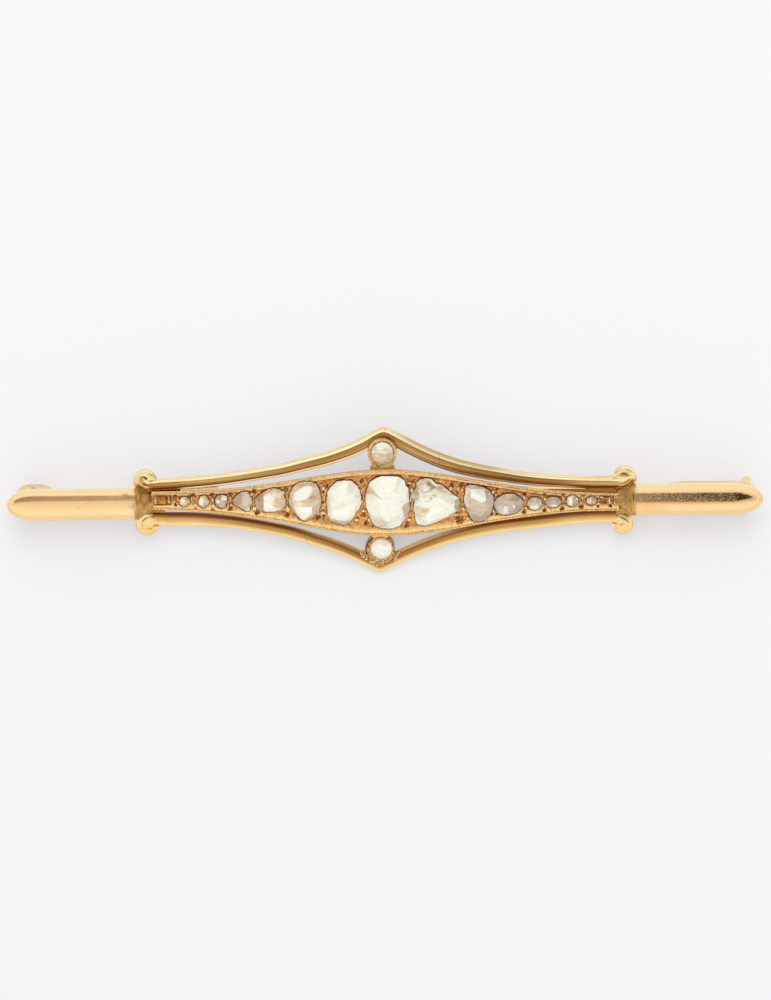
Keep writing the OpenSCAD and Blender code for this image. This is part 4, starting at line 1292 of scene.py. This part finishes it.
for name in RAILS:
    make(name, rail_shape(name), RAIL_GOLD)
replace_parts(make("plate", plate_shape(), PLATE_GOLD, sharp=60), "brooch_body")
make("milgrain_upper", milgrain_shape(1), BEAD_GOLD)
make("milgrain_lower", milgrain_shape(-1), BEAD_GOLD)
make("grain_beads", bead_shape(), BEAD_GOLD)
make("collet_upper", collet_shape("diamond_top"), BEAD_GOLD)
make("collet_lower", collet_shape("diamond_bottom"), BEAD_GOLD)
for index, place in enumerate(SCROLLS):
    make(f"scroll_{index + 1}", scroll_shape(place), BEAD_GOLD)
for side, key in ((-1, "left"), (1, "right")):
    make("collar_" + key, collar_shape(side), ROUGH_GOLD)
make("end_floors", floor_shape(), ROUGH_GOLD)
make("bar_left", bar_shape(-1, LEFT_NOSE), BAR_GOLD)
make("bar_right", bar_shape(1, RIGHT_NOSE), WORN_GOLD)
make("hinge_ears", hinge_shape(), BAR_GOLD)
make("clasp_tube", tube_shape(), BAR_GOLD)
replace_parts(make("pin", pin_shape(), BAR_GOLD), "pin_stem")
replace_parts(make("slider_knob", slider_shape(), BAR_GOLD, body="clasp"), "clasp_slider")
for name in STONES:
    cut_stone(name)


# Floor, light and camera


def stage_plane(name, corners, material):
    mesh = bpy.data.meshes.new(name)
    mesh.from_pydata(corners, [], [(0, 1, 2, 3)])
    mesh.materials.append(material)
    obj = in_scene(name, mesh)
    return obj


# White sheet that glows softly, so that the shadows stay pale
paper = Nodes(bpy.data.materials.new("floor_sheet"))
paper.feed(paper.shader, {
    "Base Color": (0.445, 0.42, 0.395, 1),
    "Roughness": 0.9,
    "Specular IOR Level": 0.1,
    "Emission Color": (0.346, 0.379, 0.41, 1),
    "Emission Strength": 1.0,
})
stage_plane("floor", [(-1, -1, 0), (1, -1, 0), (1, 1, 0), (-1, 1, 0)], paper.owner)

# Cards that only show as reflections: ends along x, angle about x in degrees from straight up, the angle
# that each covers at its ends, and the screen colours of the edge towards the zenith and of the other one
CARDS = {
    "card_left": ((-0.4, -0.024), 44, (40, 40), ((182, 166, 150), (160, 154, 144))),
    "card_right": ((0.0265, 0.06), 12, (68, 66), ((70, 45, 34), (40, 40, 33))),
    "card_right_end": ((0.06, 0.27), 14, (66, 6), ((70, 45, 34), (40, 40, 33))),
}
CARD_DISTANCE = 0.2
AXIS_HEIGHT = REST_DROP / 1000

for name, (ends, angle, widths, shades) in CARDS.items():
    made = Nodes(bpy.data.materials.new(name))
    made.feed(made.shader, {
        "Base Color": (0, 0, 0, 1),
        "Specular IOR Level": 0.0,
        "Emission Color": made.attribute("shade")["Color"],
        "Emission Strength": 1.0,
    })
    corners = []
    for end, edge in ((0, -1), (1, -1), (1, 1), (0, 1)):
        a = math.radians(angle + edge * widths[end] / 2)
        reach = CARD_DISTANCE / math.cos(math.radians(widths[end] / 2))
        corners.append((ends[end], reach * math.sin(a), AXIS_HEIGHT + reach * math.cos(a)))
    card = stage_plane(name, corners, made.owner)
    shade = card.data.color_attributes.new("shade", "FLOAT_COLOR", "POINT")
    for point, tone in zip(shade.data, (0, 0, 1, 1)):
        point.color = (*srgb(*shades[tone]), 1)
    card.visible_camera = False
    card.visible_shadow = False
    card.visible_diffuse = False

# Light tent, as brightness by the angle about x: 0 is straight up and 90 is towards the photo's top
TENT = [
    (-180, 0.95), (-90, 1.08), (-55, 1.12), (-25, 1.0), (0, 0.9), (20, 0.84), (45, 0.9), (65, 1.02),
    (90, 1.12), (180, 0.95),
]
TENT_TOP = 1.2
sky = Nodes(bpy.data.worlds.new("studio"))
bpy.context.scene.world = sky.owner
direction = sky.node("ShaderNodeSeparateXYZ", {0: sky.coordinates("Generated")}).outputs
turned = sky.math("ARCTAN2", direction["Y"], direction["Z"])
ramp = sky.node("ShaderNodeValToRGB", {"Fac": sky.spread(turned, -math.pi, math.pi, 1.0)})
ramp.color_ramp.interpolation = "EASE"
stops = ramp.color_ramp.elements
while len(stops) < len(TENT):
    stops.new(0.5)
for stop, (angle, plate_highlight) in zip(stops, TENT):
    stop.position = angle / 360 + 0.5
    stop.color = (plate_highlight / TENT_TOP, plate_highlight / TENT_TOP, plate_highlight / TENT_TOP, 1)
sky.feed(sky.shader, {"Color": ramp.outputs["Color"], "Strength": TENT_TOP})

# Soft keys from the photo's top, which throw the shadow and show in no metal: power and height in degrees
KEYS = [(0.92, 68), (0.3, 42)]
KEY_DISTANCE = 0.5
KEY_SIZE = 0.36
for power, degrees in KEYS:
    rise = math.radians(degrees)
    data = bpy.data.lights.new("key", "AREA")
    data.energy = power
    data.size = KEY_SIZE
    key = in_scene("key", data)
    key.location = (0, KEY_DISTANCE * math.cos(rise), KEY_DISTANCE * math.sin(rise))
    key.rotation_euler = (rise - math.pi / 2, 0, 0)
    key.visible_glossy = False

bpy.context.scene.view_settings.view_transform = "Standard"

# The photo frame is 66.2 by 85.9 mm at the bars' axis, seen from straight above
LENS = 250
SENSOR = 36
FRAME_HEIGHT = 0.0859
ROLL = math.radians(-0.51)
camera_data = bpy.data.cameras.new("camera")
camera_data.lens = LENS
camera_data.sensor_width = SENSOR
camera_data.clip_start = 0.01
camera = in_scene("camera", camera_data)
camera.location = (0.00004, -0.00006, FRAME_HEIGHT * LENS / SENSOR + AXIS_HEIGHT)
camera.rotation_euler = (0, 0, ROLL)
bpy.context.scene.camera = camera
